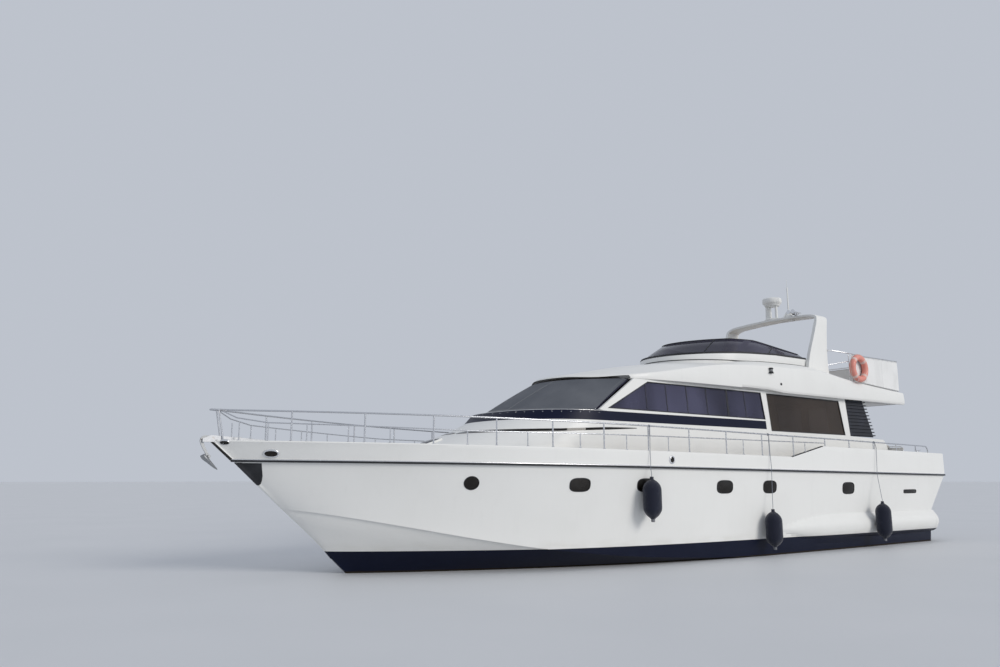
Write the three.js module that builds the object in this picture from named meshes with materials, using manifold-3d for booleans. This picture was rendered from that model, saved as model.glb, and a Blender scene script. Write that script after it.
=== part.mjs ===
// A twenty metre flybridge motor yacht, in millimetres.
// +X points to the bow, +Y to port and +Z up. The origin is on the waterline, on the centre line, amidships.
import * as THREE from 'three';
import Module from 'manifold-3d';
import { mergeVertices } from 'three/addons/utils/BufferGeometryUtils.js';

const wasm = await Module();
wasm.setup();

// Driving dimensions of the hull
const CAP_TIP = 10230; // the bulwark cap's foremost point
const JOINT_TIP = 9830; // the foremost point of the joint between hull and deck
const TRANSOM = -9400; // the hull's aft end under water
const QUARTER_END = -10200; // the aft end of the two quarter wings
const HALF_BEAM = 2620;
const FULL_FROM = 1000; // forward of this the plan narrows to the bow
const RUN_FROM = -3000; // aft of this it narrows a little to the stern
const PLAN_POWER = 2.3;
const JOINT_AMIDSHIPS = 1965; // height of the hull and deck joint
const SHEER_SLOPE = 0.0105; // the deck rises this much for each unit forward
const DECK_THICKNESS = 80;
const BULWARK_THICKNESS = 90;
const CAP_AMIDSHIPS = 2300;
const CAP_SLOPE = 0.0118;
const STEP_LOW = -2700; // the bulwark steps up between these two places
const STEP_HIGH = -4000;
const QUARTER_CAP = 2550; // height of the raised bulwark where the step ends
const GAP = 0.3; // left between two pieces that touch
const CLEAR = 6; // left beside a piece that moves

// Driving dimensions of the house and the flybridge
const HOUSE_FOOT_HALF = 1960; // half breadth of the house on deck
const HOUSE_LEAN = 0.09; // how far the side leans in for each unit up
const WALL = 60;
const HOUSE_FRONT = 2600; // where the coachroof ends and the house sides begin
const BULKHEAD = -6450; // the aft face of the saloon
const WING_END = -8100;
const SILL = 2900; // top of the low part of the house wing
const ROOF_UNDER = 3930;
const FLY_SOLE = 4100;
const FLY_END = -9300;
const BAND_TOP = 3170; // top of the dark band under the windscreen
const ARCH_TOP = 6300;
const PLATFORM_TOP = 620;
const PLATFORM_END = -10450;
const SHAFT_HALF_SPAN = 950; // each propeller shaft's distance from the centre line

const jointHeight = (x) => JOINT_AMIDSHIPS + SHEER_SLOPE * x;
const deckHeight = (x) => jointHeight(x) + GAP + DECK_THICKNESS;
const capHeight = (x) => {
  const low = CAP_AMIDSHIPS + CAP_SLOPE * x;
  const high = QUARTER_CAP + 0.012 * (x - STEP_HIGH);
  const rise = THREE.MathUtils.clamp((STEP_LOW - x) / (STEP_LOW - STEP_HIGH), 0, 1);
  return low + (high - low) * rise;
};
const halfBreadth = (x, tip) => {
  const forward = Math.max(x - FULL_FROM, 0) / (tip - FULL_FROM);
  const aft = Math.max(RUN_FROM - x, 0) / (RUN_FROM - TRANSOM);
  return HALF_BEAM * (1 - forward ** PLAN_POWER) - 120 * aft ** 2;
};

// Finishes
const paint = (color, roughness = 0.3, metalness = 0) =>
  new THREE.MeshStandardMaterial({ color, roughness, metalness });
const gelcoat = paint(0xeeeeea);
const steel = paint(0xc9ccd0, 0.18, 1);
const darkGlass = paint(0x1b1a2c, 0.1);
const mesh = paint(0x5d6269, 0.9);
const teak = paint(0xa9855c, 0.7);
const cloth = paint(0xe6e2da, 0.9);
const fenderBlue = paint(0x1c2a5c, 0.9);
const black = paint(0x0b0c10, 0.4);
const bronze = paint(0xa8843e, 0.35, 1);
const orange = paint(0xe07a62, 0.7);
const ironGrey = paint(0x6f7478, 0.5, 0.6);
const leather = paint(0xe9e2d2, 0.6);

// Solids

// The solid inside a closed geometry.
function solidOf(geometry) {
  const bare = geometry.clone();
  bare.deleteAttribute('normal');
  bare.deleteAttribute('uv');
  const merged = mergeVertices(bare, 1e-3);
  const triangles = Array.from(merged.index.array);
  const place = merged.attributes.position.array;
  if (volume(place, triangles) < 0) triangles.reverse();
  const [vertProperties, triVerts] = [new Float32Array(place), new Uint32Array(triangles)];
  return new wasm.Manifold(new wasm.Mesh({ numProp: 3, vertProperties, triVerts }));
}

function volume(place, triangles) {
  let sum = 0;
  const [a, b, c] = [new THREE.Vector3(), new THREE.Vector3(), new THREE.Vector3()];
  for (let i = 0; i < triangles.length; i += 3) {
    a.fromArray(place, 3 * triangles[i]);
    b.fromArray(place, 3 * triangles[i + 1]);
    c.fromArray(place, 3 * triangles[i + 2]);
    sum += a.dot(b.cross(c));
  }
  return sum;
}

function geometryOf(solid) {
  const net = solid.getMesh();
  const geometry = new THREE.BufferGeometry();
  geometry.setAttribute('position', new THREE.BufferAttribute(new Float32Array(net.vertProperties), 3));
  geometry.setIndex(new THREE.BufferAttribute(new Uint32Array(net.triVerts), 1));
  return geometry;
}

const join = (...solids) => solids.reduce((whole, piece) => whole.add(piece));

// The largest body that is left after the cuts. Offcuts fall away.
function cut(whole, ...tools) {
  const bodies = tools.reduce((left, tool) => left.subtract(tool), whole).decompose();
  return bodies.reduce((largest, body) => (body.volume() > largest.volume() ? body : largest));
}

// A piece cut where it rests on its carrier, and a gap above it.
const restOn = (piece, carrier, x = 0, y = 0, z = GAP) => cut(piece, carrier, carrier.translate([x, y, z]));

function box(x0, x1, y0, y1, z0, z1) {
  const geometry = new THREE.BoxGeometry(x1 - x0, y1 - y0, z1 - z0);
  return solidOf(geometry.translate((x0 + x1) / 2, (y0 + y1) / 2, (z0 + z1) / 2));
}

// A cylinder from one point to another.
function rod(from, to, radius, sides = 12, endRadius = radius) {
  const [a, b] = [new THREE.Vector3(...from), new THREE.Vector3(...to)];
  const geometry = new THREE.CylinderGeometry(endRadius, radius, a.distanceTo(b), sides);
  const turn = new THREE.Quaternion().setFromUnitVectors(
    new THREE.Vector3(0, 1, 0),
    b.clone().sub(a).normalize(),
  );
  geometry.applyQuaternion(turn);
  return solidOf(geometry.translate((a.x + b.x) / 2, (a.y + b.y) / 2, (a.z + b.z) / 2));
}

// A tube through a list of corners, straight between them, with a mitre at each.
function bentTube(corners, radius, sides = 6) {
  const route = corners.map((p) => new THREE.Vector3(...p));
  const last = route.length - 1;
  const heading = (k) => route[Math.min(k + 1, last)].clone().sub(route[Math.min(k, last - 1)]).normalize();
  let across = heading(0).cross(new THREE.Vector3(0.1, 0.2, 1)).normalize();
  const rings = route.map((corner, k) => {
    const along = heading(Math.max(k - 1, 0)).add(heading(k)).normalize();
    across = across.clone().addScaledVector(along, -across.dot(along)).normalize();
    const other = along.clone().cross(across);
    return Array.from({ length: sides }, (_, j) => {
      const angle = (2 * Math.PI * j) / sides;
      const point = corner.clone().addScaledVector(across, radius * Math.cos(angle));
      return point.addScaledVector(other, radius * Math.sin(angle)).toArray();
    });
  });
  return skin(rings);
}

// A skin over rings of points, with each end closed by a fan.
function skin(rings) {
  const count = rings[0].length;
  const triangles = wall(rings);
  const last = (rings.length - 1) * count;
  for (let j = 1; j + 1 < count; j++) triangles.push(0, j + 1, j, last, last + j, last + j + 1);
  return solidOf(netOf(rings.flat(2), triangles));
}

// The quads between neighbouring rings. Their diagonals on one half mirror those on the other.
function wall(rings) {
  const count = rings[0].length;
  const triangles = [];
  for (let i = 0; i + 1 < rings.length; i++) {
    for (let j = 0; j < count; j++) {
      const k = (j + 1) % count;
      const [a, b, c, d] = [i * count + j, i * count + k, (i + 1) * count + k, (i + 1) * count + j];
      if (j < count / 2) triangles.push(a, b, c, a, c, d);
      else triangles.push(a, b, d, b, c, d);
    }
  }
  return triangles;
}

function netOf(place, triangles) {
  const geometry = new THREE.BufferGeometry();
  geometry.setAttribute('position', new THREE.BufferAttribute(new Float32Array(place), 3));
  geometry.setIndex(triangles);
  return geometry;
}

// A flat outline of [x, y] corners, drawn upwards between two heights.
function slab(outline, z0, z1) {
  const shape = new THREE.Shape(outline.map(([x, y]) => new THREE.Vector2(x, y)));
  const geometry = new THREE.ExtrudeGeometry(shape, { depth: z1 - z0, bevelEnabled: false });
  return solidOf(geometry.translate(0, 0, z0));
}

// A flat outline of [x, z] corners, drawn across between two breadths.
function plate(outline, y0, y1) {
  const shape = new THREE.Shape(outline.map(([x, z]) => new THREE.Vector2(x, z)));
  const geometry = new THREE.ExtrudeGeometry(shape, { depth: y1 - y0, bevelEnabled: false });
  return solidOf(geometry.rotateX(Math.PI / 2).translate(0, y1, 0));
}

// A skin over closed rings of [x, y, z] points, with an end face at the first and the last ring.
// The end faces may be hollow outlines. They are cut into triangles as they look along the axis 0, 1 or 2.
function loft(rings, axis = 0) {
  const count = rings[0].length;
  const triangles = wall(rings);
  const flat = (ring) => ring.map((p) => new THREE.Vector2(...p.filter((value, side) => side !== axis)));
  for (const [k, turned] of [[0, true], [rings.length - 1, false]]) {
    const outline = flat(rings[k]);
    const anticlockwise = THREE.ShapeUtils.area(outline) > 0;
    for (const [a, b, c] of THREE.ShapeUtils.triangulateShape(outline, [])) {
      const face = turned === anticlockwise ? [a, c, b] : [a, b, c];
      triangles.push(...face.map((corner) => corner + k * count));
    }
  }
  return solidOf(netOf(rings.flat(2), triangles));
}

// A port half of a ring and its mirror image. Points on the centre line come once.
function bothSides(half) {
  const mirrored = half
    .filter(([, y]) => y > 0)
    .map(([x, y, z]) => [x, -y, z])
    .reverse();
  return [...half, ...mirrored];
}

// A sheet with a thickness: its outer face is at(u, v), and its inner face is shifted by depth(u, v).
function thickSheet(at, depth, across, along) {
  const place = [];
  for (const inner of [false, true]) {
    for (let i = 0; i <= across; i++) {
      for (let j = 0; j <= along; j++) {
        const [u, v] = [i / across, j / along];
        const p = at(u, v);
        if (inner) p.add(depth(u, v));
        place.push(p.x, p.y, p.z);
      }
    }
  }
  const corner = (inner, i, j) => (inner ? (across + 1) * (along + 1) : 0) + i * (along + 1) + j;
  const triangles = [];
  const quad = (a, b, c, d) => triangles.push(a, b, c, a, c, d);
  for (let i = 0; i < across; i++) {
    for (let j = 0; j < along; j++) {
      quad(corner(0, i, j), corner(0, i + 1, j), corner(0, i + 1, j + 1), corner(0, i, j + 1));
      quad(corner(1, i, j), corner(1, i, j + 1), corner(1, i + 1, j + 1), corner(1, i + 1, j));
    }
  }
  for (let i = 0; i < across; i++) {
    quad(corner(0, i + 1, 0), corner(0, i, 0), corner(1, i, 0), corner(1, i + 1, 0));
    quad(corner(0, i, along), corner(0, i + 1, along), corner(1, i + 1, along), corner(1, i, along));
  }
  for (let j = 0; j < along; j++) {
    quad(corner(0, 0, j), corner(0, 0, j + 1), corner(1, 0, j + 1), corner(1, 0, j));
    quad(corner(0, across, j + 1), corner(0, across, j), corner(1, across, j), corner(1, across, j + 1));
  }
  return solidOf(netOf(place, triangles));
}

const mirrored = (solid) => solid.mirror([0, 1, 0]);

const yacht = new THREE.Group();

function add(name, solid, material) {
  const piece = new THREE.Mesh(geometryOf(solid), material);
  piece.name = name;
  yacht.add(piece);
  return solid;
}

// Adds a port piece and its mirror image to starboard.
function addPair(name, solid, material) {
  add(`${name}_port`, solid, material);
  add(`${name}_starboard`, mirrored(solid), material);
}

// Hull

// Stations of the hull, from the transom to the stem. The stem is raked, so each line has its own x.
// Columns: x of the deck joint, of the chine and of the keel, keel height, chine half breadth and height,
// flare power.
const HULL_STATIONS = [
  [-9400, -9400, -9400, -620, 2300, -120, 1],
  [-6000, -6000, -6000, -800, 2380, -90, 1],
  [-2500, -2500, -2500, -920, 2420, -20, 1],
  [500, 500, 500, -980, 2390, 80, 1],
  [2500, 2500, 2500, -1000, 2250, 210, 1.1],
  [4300, 4300, 4300, -980, 1960, 410, 1.2],
  [5900, 5700, 5500, -900, 1590, 640, 1.35],
  [7200, 6850, 6400, -690, 1180, 860, 1.45],
  [8300, 7750, 7050, -380, 780, 1030, 1.5],
  [9150, 8400, 7420, -130, 420, 1140, 1.5],
  [9600, 8750, 7640, 40, 170, 1190, 1.4],
  [JOINT_TIP, 8900, 7900, 280, 30, 1215, 1],
];
const KEEL_HALF = 35;
const SPRAY_FLAT = 45;

function hullRing([jointX, chineX, keelX, keelZ, chineY, chineZ, flare]) {
  const jointY = Math.max(halfBreadth(jointX, JOINT_TIP) - 20, 30);
  const jointZ = jointHeight(jointX);
  const side = (t) => [
    chineX + (jointX - chineX) * t,
    chineY + (jointY - chineY) * t ** flare,
    chineZ + (jointZ - chineZ) * t,
  ];
  const keelY = Math.min(KEEL_HALF, chineY / 2);
  const bottom = (t) => [
    keelX + (chineX - keelX) * t,
    keelY + (chineY - keelY) * t,
    keelZ + (chineZ - keelZ) * t ** 0.92,
  ];
  const flat = Math.min(SPRAY_FLAT, chineY / 4);
  const inner = bottom(1);
  inner[1] -= flat;
  return bothSides([[keelX, keelY, keelZ], bottom(0.5), inner, side(0), side(0.33), side(0.66), side(1)]);
}

// The smooth swelling along each quarter. It runs on past the transom beside the bathing platform
// and ends round.
// Columns: x, half height, how far it stands out.
const QUARTER_BULGE = [
  [-2350, 25, 5],
  [-2850, 120, 45],
  [-3350, 205, 80],
  [-4100, 265, 105],
  [-6500, 275, 125],
  [-9300, 280, 125],
  [-9480, 240, 105],
  [-9580, 160, 65],
  [-9620, 80, 20],
];
const BULGE_HEIGHT = 575;
const BULGE_ROOT = 150; // how far the swelling is let into the hull
const PLATFORM_HALF = 2280;

function quarterBulge() {
  const rings = QUARTER_BULGE.map(([x, high, out]) => {
    const hullSide = halfBreadth(x, JOINT_TIP) - 95;
    const root = Math.max(hullSide - BULGE_ROOT, PLATFORM_HALF + 20);
    const arc = [-1, -0.6, 0, 0.6, 1].map((t) => [
      x, hullSide + out * Math.sqrt(1 - t * t * 0.99), BULGE_HEIGHT + high * t,
    ]);
    return [[x, root, BULGE_HEIGHT - high], ...arc, [x, root, BULGE_HEIGHT + high]];
  });
  return loft(rings);
}

// Where the shafts and the rudder stocks leave the hull
const SHAFT_SLOPE = 0.13;
const PROPELLER_X = -7750;
const PROPELLER_Z = -1010;
const SHAFT_RADIUS = 32;
const SHAFT_START = -3600;
const shaftHeight = (x) => PROPELLER_Z + SHAFT_SLOPE * (x - PROPELLER_X);
const onShaft = (x) => [x, SHAFT_HALF_SPAN, shaftHeight(x)];
const RUDDER_X = -8500;
const STOCK_RADIUS = 35;
const STOCK_TOP = -250;

// The stairs from the deck to the bathing platform, one flight on each quarter
const STAIR_INNER = 1500;
const STAIR_OUTER = 2330;
const TREAD = 240;
const STEPS = 4;
const stairTop = TRANSOM + STEPS * TREAD;
const RISER = (deckHeight(stairTop) - PLATFORM_TOP) / (STEPS + 1);

function stairwell() {
  const flights = [];
  for (let k = 0; k < STEPS; k++) {
    const tread = PLATFORM_TOP + RISER * (STEPS - k);
    flights.push(box(TRANSOM - 200, stairTop - k * TREAD, STAIR_INNER, STAIR_OUTER, tread, 2600));
  }
  return join(...flights);
}

const ENGINE_ROOM = { aft: -7850, front: -4300, half: 1750, floor: -180 };

function makeHull() {
  const shell = loft(HULL_STATIONS.map(hullRing));
  const wing = plate(
    [[-9300, 860], [TRANSOM, 860], [QUARTER_END + 20, jointHeight(QUARTER_END)], [-9300, jointHeight(-9300)]],
    2370,
    2480,
  );
  const bulge = quarterBulge();
  const room = box(
    ENGINE_ROOM.aft, ENGINE_ROOM.front, -ENGINE_ROOM.half, ENGINE_ROOM.half, ENGINE_ROOM.floor, 2600,
  );
  const stairs = stairwell();
  const shaftHole = rod(onShaft(SHAFT_START + 40), onShaft(SHAFT_START - 900), SHAFT_RADIUS + CLEAR, 12);
  const stockHole = rod(
    [RUDDER_X, SHAFT_HALF_SPAN, STOCK_TOP + 10], [RUDDER_X, SHAFT_HALF_SPAN, -900], STOCK_RADIUS + CLEAR, 12,
  );
  const solid = join(shell, wing, mirrored(wing), bulge, mirrored(bulge));
  return cut(
    solid, room, stairs, mirrored(stairs), shaftHole, mirrored(shaftHole), stockHole, mirrored(stockHole),
  );
}

// Deck and bulwarks

const DECK_STATIONS = [
  TRANSOM, -6500, STEP_HIGH, STEP_LOW, -500, 1500, 3000, 4500, 5800, 6900, 7800, 8500, 9100, 9500, JOINT_TIP,
];
const capX = (jointX) => jointX + (CAP_TIP - JOINT_TIP) * (Math.max(jointX, 0) / JOINT_TIP) ** 4;

function deckRing(jointX) {
  const atTip = jointX === JOINT_TIP;
  const topX = capX(jointX);
  const jointY = Math.max(halfBreadth(jointX, JOINT_TIP), 32);
  const topY = Math.max(halfBreadth(topX, CAP_TIP), 36);
  const innerY = Math.max(topY - BULWARK_THICKNESS, 10);
  const innerLowY = Math.max(jointY - BULWARK_THICKNESS, 10);
  const bottom = jointHeight(jointX) + GAP;
  const sole = atTip ? capHeight(topX) - 4 : bottom + DECK_THICKNESS;
  return bothSides([
    [jointX, 0, bottom],
    [jointX, jointY, bottom],
    [topX, topY, capHeight(topX)],
    [topX, innerY, capHeight(topX)],
    [jointX, innerLowY, sole],
    [jointX, 0, sole],
  ]);
}

const ENGINE_HATCH = { aft: -7800, front: -7000, half: 450 };
const FORE_HATCH = { aft: 7380, front: 7940, half: 280 };
const LOCKER_DEPTH = 500;
const forepeak = box(
  FORE_HATCH.aft, FORE_HATCH.front, -FORE_HATCH.half, FORE_HATCH.half,
  deckHeight(FORE_HATCH.aft) - LOCKER_DEPTH, 2600,
);

function makeDeck() {
  const moulding = loft(DECK_STATIONS.map(deckRing));
  const wing = plate(
    [
      [-9300, jointHeight(-9300) + GAP],
      [QUARTER_END, jointHeight(QUARTER_END) + GAP],
      [QUARTER_END, capHeight(QUARTER_END)],
      [-9300, capHeight(-9300)],
    ],
    2395,
    2490,
  );
  const stairs = stairwell();
  const { aft, front, half } = ENGINE_HATCH;
  const hatch = box(aft, front, -half, half, 1500, 2600);
  const [x, y, z] = [stairTop + 60, STAIR_INNER - 30, deckHeight(stairTop)];
  const post = rod([x, y, z - 60], [x, y, z + 680], 22, 10);
  const whole = cut(join(moulding, wing, mirrored(wing)), stairs, mirrored(stairs), hatch, forepeak);
  return join(whole, post, mirrored(post));
}

const hull = add('hull', cut(makeHull(), forepeak), gelcoat);
const deck = add('deck', makeDeck(), gelcoat);

// A half round rail of black rubber and steel on the joint, from one quarter round the stem to the other.
const RAIL_OUT = 45;
const RAIL_HALF_HEIGHT = 38;

function makeRubRail() {
  const atBow = [9500, 9600, JOINT_TIP, JOINT_TIP + 25];
  const stations = [QUARTER_END + 40, ...DECK_STATIONS.filter((x) => x < 9500), ...atBow];
  const rings = stations.map((x) => {
    const side = x < TRANSOM ? 2491 : Math.max(halfBreadth(x, JOINT_TIP), 32) + 1;
    const z = jointHeight(x);
    return [
      [x, side, z - RAIL_HALF_HEIGHT],
      [x, side + RAIL_OUT - 12, z - RAIL_HALF_HEIGHT],
      [x, side + RAIL_OUT, z],
      [x, side + RAIL_OUT - 12, z + RAIL_HALF_HEIGHT],
      [x, side, z + RAIL_HALF_HEIGHT],
    ];
  });
  const z = jointHeight(JOINT_TIP);
  const half = 32 + RAIL_OUT - 2;
  const high = RAIL_HALF_HEIGHT - 1;
  const nose = box(JOINT_TIP + 1, JOINT_TIP + RAIL_OUT, -half, half, z - high, z + high);
  const whole = loft(rings);
  const outwards = [[0, GAP, 0], [0, -GAP, 0], [GAP, 0, 0]];
  return cut(join(whole, mirrored(whole), nose), deck, ...outwards.map((way) => deck.translate(way)));
}

add('rub_rail', makeRubRail(), black);

// Bathing platform
function makePlatform() {
  const corner = 420;
  const half = PLATFORM_HALF;
  const front = TRANSOM - GAP;
  const outline = new THREE.Shape();
  outline.moveTo(front, -half);
  outline.lineTo(front, half);
  outline.lineTo(PLATFORM_END + corner + 150, half);
  outline.quadraticCurveTo(PLATFORM_END + 60, half, PLATFORM_END, half - corner - 300);
  outline.lineTo(PLATFORM_END, -half + corner + 300);
  outline.quadraticCurveTo(PLATFORM_END + 60, -half, PLATFORM_END + corner + 150, -half);
  const geometry = new THREE.ExtrudeGeometry(outline, { depth: 150, bevelEnabled: false, curveSegments: 5 });
  return solidOf(geometry.translate(0, 0, PLATFORM_TOP - 150));
}

add('bathing_platform', makePlatform(), gelcoat);

// Coachroof: its plan is drawn again at each height, from the deck to the foot of the windscreen.
// Columns: height, nose, half breadth at the aft end.
const COACHROOF_LEVELS = [
  [1900, 7000, 1950],
  [2150, 6800, 1930],
  [2440, 5950, 1890],
  [2640, 5350, 1850],
  [2700, 5150, 1870],
  [2960, 4560, 1860],
  [BAND_TOP, 4330, 1820],
];

function coachroofRing([z, nose, half]) {
  const length = nose - HOUSE_FRONT - GAP;
  const points = [[HOUSE_FRONT + GAP, 0, z]];
  const turns = 9;
  for (let k = 0; k <= turns; k++) {
    const angle = (Math.PI / 2) * (1 - k / turns);
    const x = HOUSE_FRONT + GAP + length * Math.cos(angle) ** 0.85;
    const y = half * Math.sin(angle) ** 0.9;
    points.push([x, k === turns ? 0 : y, z]);
  }
  return bothSides(points);
}

function makeCoachroof() {
  const trunk = loft(COACHROOF_LEVELS.map(coachroofRing), 2);
  return restOn(trunk, deck);
}

const coachroof = add('coachroof', makeCoachroof(), gelcoat);

// House sides: flat leaning walls with the windows cut out.
const houseSide = (z) => HOUSE_FOOT_HALF - HOUSE_LEAN * (z - deckHeight(0));

// A leaning plate in the house side's plane, from one depth to another, counted in from the outer face.
function leaningPlate(outline, depth0, depth1, holes = []) {
  const corners = (list) => list.map(([x, z]) => new THREE.Vector2(x, z));
  const shape = new THREE.Shape(corners(outline));
  for (const hole of holes) shape.holes.push(new THREE.Path(corners(hole)));
  const geometry = new THREE.ExtrudeGeometry(shape, { depth: depth1 - depth0, bevelEnabled: false });
  const place = geometry.attributes.position;
  for (let i = 0; i < place.count; i++) {
    const [x, z, depth] = [place.getX(i), place.getY(i), place.getZ(i)];
    place.setXYZ(i, x, houseSide(z) - depth0 - depth, z);
  }
  return solidOf(geometry);
}

const FORWARD_WINDOW = [[2500, 3240], [1270, 3875], [-2715, 3870], [-2775, 3215]];
const SALOON_WINDOW = [[-2985, 2935], [-2960, 3865], [-6110, 3845], [-6200, 2925]];

// The same outline with every edge brought in by one width.
function inset(outline, width) {
  const turn = Math.sign(THREE.ShapeUtils.area(outline.map(([x, y]) => new THREE.Vector2(x, y))));
  const edges = outline.map((from, k) => {
    const to = outline[(k + 1) % outline.length];
    const along = new THREE.Vector2(to[0] - from[0], to[1] - from[1]).normalize();
    const inward = new THREE.Vector2(-along.y, along.x).multiplyScalar(turn * width);
    return { foot: new THREE.Vector2(...from).add(inward), along };
  });
  return edges.map((edge, k) => {
    const before = edges[(k + edges.length - 1) % edges.length];
    const apart = edge.foot.clone().sub(before.foot);
    const reach = apart.cross(edge.along) / before.along.cross(edge.along);
    return before.foot.clone().addScaledVector(before.along, reach).toArray();
  });
}

function makeHouseSide() {
  const outline = [
    [HOUSE_FRONT, 1900], [HOUSE_FRONT, BAND_TOP], [2790, BAND_TOP + 20], [1690, ROOF_UNDER - GAP],
    [BULKHEAD, ROOF_UNDER - GAP], [BULKHEAD, SILL], [WING_END, SILL - 60], [WING_END - 120, SILL - 200],
    [WING_END - 220, 1900],
  ];
  const wall = leaningPlate(outline, 0, WALL, [FORWARD_WINDOW, SALOON_WINDOW]);
  return cut(restOn(wall, deck), coachroof, coachroof.translate([0, 0, GAP]));
}

addPair('house_side', makeHouseSide(), gelcoat);
addPair('forward_window', leaningPlate(inset(FORWARD_WINDOW, 2), 18, 30), darkGlass);
addPair('saloon_window', leaningPlate(inset(SALOON_WINDOW, 2), 18, 30), darkGlass);

// Louvred wing behind the saloon window
const BLADES = 11;

function makeLouvre() {
  const top = ROOF_UNDER - GAP;
  const foot = SILL + 2 * GAP;
  const front = BULKHEAD - GAP;
  const aftAt = (z) => -7450 - ((top - z) / (top - foot)) * 300;
  const backing = leaningPlate(
    [[front, foot], [front, top], [aftAt(top) + 90, top], [aftAt(foot) + 90, foot]], 36, 56,
  );
  const pitch = (top - foot) / BLADES;
  const blades = [];
  for (let k = 0; k < BLADES; k++) {
    const z = foot + pitch * (k + 0.35);
    const tip = aftAt(z);
    const high = z + pitch * 0.3;
    blades.push(leaningPlate([[front, z], [front, high], [tip, high], [tip + 25, z]], 4, 40));
  }
  const below = [[BULKHEAD, 1900], [BULKHEAD, SILL], [WING_END, SILL - 60], [WING_END, 1900]];
  const wall = leaningPlate(below, -5, 200);
  return cut(join(backing, ...blades), wall.translate([0, 0, GAP]));
}

addPair('louvre', makeLouvre(), black);

// Aft bulkhead, with its door opening and two windows
const DOOR = { half: 460, top: 3860, thick: 34, travel: 930 };
const BULKHEAD_WINDOW = { inner: 640, outer: 1560, low: 2560, high: 3760 };

function makeBulkhead() {
  const x0 = BULKHEAD + 10;
  const z1 = ROOF_UNDER - GAP;
  const inside = (z) => houseSide(z) - WALL - GAP;
  const shape = [[-inside(1900), 1900], [inside(1900), 1900], [inside(z1), z1], [-inside(z1), z1]];
  const panel = loft([x0, x0 + WALL].map((x) => shape.map(([y, z]) => [x, y, z])));
  const doorway = box(x0 - 50, x0 + 100, -DOOR.half, DOOR.half, 1500, DOOR.top);
  const { inner, outer, low, high } = BULKHEAD_WINDOW;
  const window = box(x0 - 50, x0 + 100, inner, outer, low, high);
  const pane = box(x0 + 24, x0 + 36, inner - 5, outer + 5, low - 5, high + 5);
  return join(cut(restOn(panel, deck), doorway, window, mirrored(window)), pane, mirrored(pane));
}

add('aft_bulkhead', makeBulkhead(), gelcoat);

function makeDoor() {
  const face = BULKHEAD + 10 - CLEAR;
  const sole = deckHeight(BULKHEAD) + CLEAR + 4;
  const frame = box(face - DOOR.thick, face, -DOOR.half - 15, DOOR.half + 15, sole, DOOR.top + 20);
  const light = box(face - 200, face + 50, -DOOR.half + 70, DOOR.half - 70, sole + 160, DOOR.top - 70);
  const pane = box(face - 22, face - 10, -DOOR.half + 50, DOOR.half - 50, sole + 140, DOOR.top - 50);
  return join(cut(frame, light), pane);
}

add('saloon_door', makeDoor(), darkGlass);

// Windscreen and the mesh cover stretched over it
const SCREEN_FOOT = { nose: 4140, corner: 2800, half: 1750, z: BAND_TOP + 12 };
const SCREEN_HEAD = { nose: 2780, corner: 1720, half: 1640, z: ROOF_UNDER - 10 };

function screenPoint(u, v, lift) {
  const side = 2 * u - 1;
  const mix = THREE.MathUtils.lerp;
  const half = mix(SCREEN_FOOT.half, SCREEN_HEAD.half, v);
  const nose = mix(SCREEN_FOOT.nose, SCREEN_HEAD.nose, v);
  const corner = mix(SCREEN_FOOT.corner, SCREEN_HEAD.corner, v);
  const fall = (nose - corner) * Math.abs(side) ** 2.2;
  const swell = 30 * Math.sin(Math.PI * v);
  const z = mix(SCREEN_FOOT.z, SCREEN_HEAD.z, v);
  return new THREE.Vector3(nose - fall + lift * 0.5 + swell, half * side, z + lift * 0.85);
}

const inwards = (thickness) => () => new THREE.Vector3(-0.5 * thickness, 0, -0.85 * thickness);

const houseWalls = join(makeHouseSide(), mirrored(makeHouseSide()));
const glassSheet = thickSheet((u, v) => screenPoint(u, v, 0), inwards(12), 14, 3);
const windscreen = add('windscreen', cut(glassSheet, houseWalls), darkGlass);
const coverSheet = thickSheet((u, v) => screenPoint(u, v, 16), inwards(8), 14, 3);

// Roof, which is the flybridge deck, with its side coamings and the brow over the windscreen
// Columns: x on the centre line, how far the corner lies aft of it, half breadth, side height, middle height.
const BROW_STATIONS = [
  [2760, 1060, 1700, 4010, 4010],
  [2450, 1050, 1790, 4060, 4100],
  [1760, 1000, 1870, 4150, 4240],
  [800, 800, 1935, 4280, 4420],
  [-500, 500, 1965, 4430, 4560],
  [-1500, 300, 1975, 4500, 4600],
];

function browRing([x, back, half, sideTop, middleTop]) {
  const at = (y, z) => [x - back * (y / half) ** 2, y, z];
  return bothSides([
    at(0, ROOF_UNDER),
    at(half - 120, ROOF_UNDER),
    at(half, ROOF_UNDER + 40),
    at(half - 25, sideTop),
    at(half * 0.72, middleTop - 30),
    at(half * 0.35, middleTop),
    at(0, middleTop),
  ]);
}

const ROOF_AFT_TOP = 4250;

// Side coaming of the flybridge. Columns: x, foot of the outer face, its top, top of the shoulder inboard.
const COAMING_STATIONS = [
  [-1200, 3972, 4470, 4590],
  [-2750, 4016, 4540, 4690],
  [-3650, 3935, 4560, 4720],
  [-5100, 3930, 4570, 4720],
  [-6300, 3930, 4450, 4560],
  [-7500, 3930, 4360, 4420],
  [FLY_END, 3930, ROOF_AFT_TOP - 5, ROOF_AFT_TOP + 15],
];
const COAMING_OUTER = 1975;

function makeCoaming() {
  const rings = COAMING_STATIONS.map(([x, foot, top, shoulder]) => [
    [x, 1700, ROOF_UNDER], [x, COAMING_OUTER - 30, foot], [x, COAMING_OUTER, foot + 60],
    [x, COAMING_OUTER - 30, top], [x, 1640, shoulder], [x, 1560, shoulder], [x, 1560, ROOF_UNDER],
  ]);
  return loft(rings);
}

const LADDER_HATCH = { aft: -8350, front: -7450, inner: 800, outer: 1450 };

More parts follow.
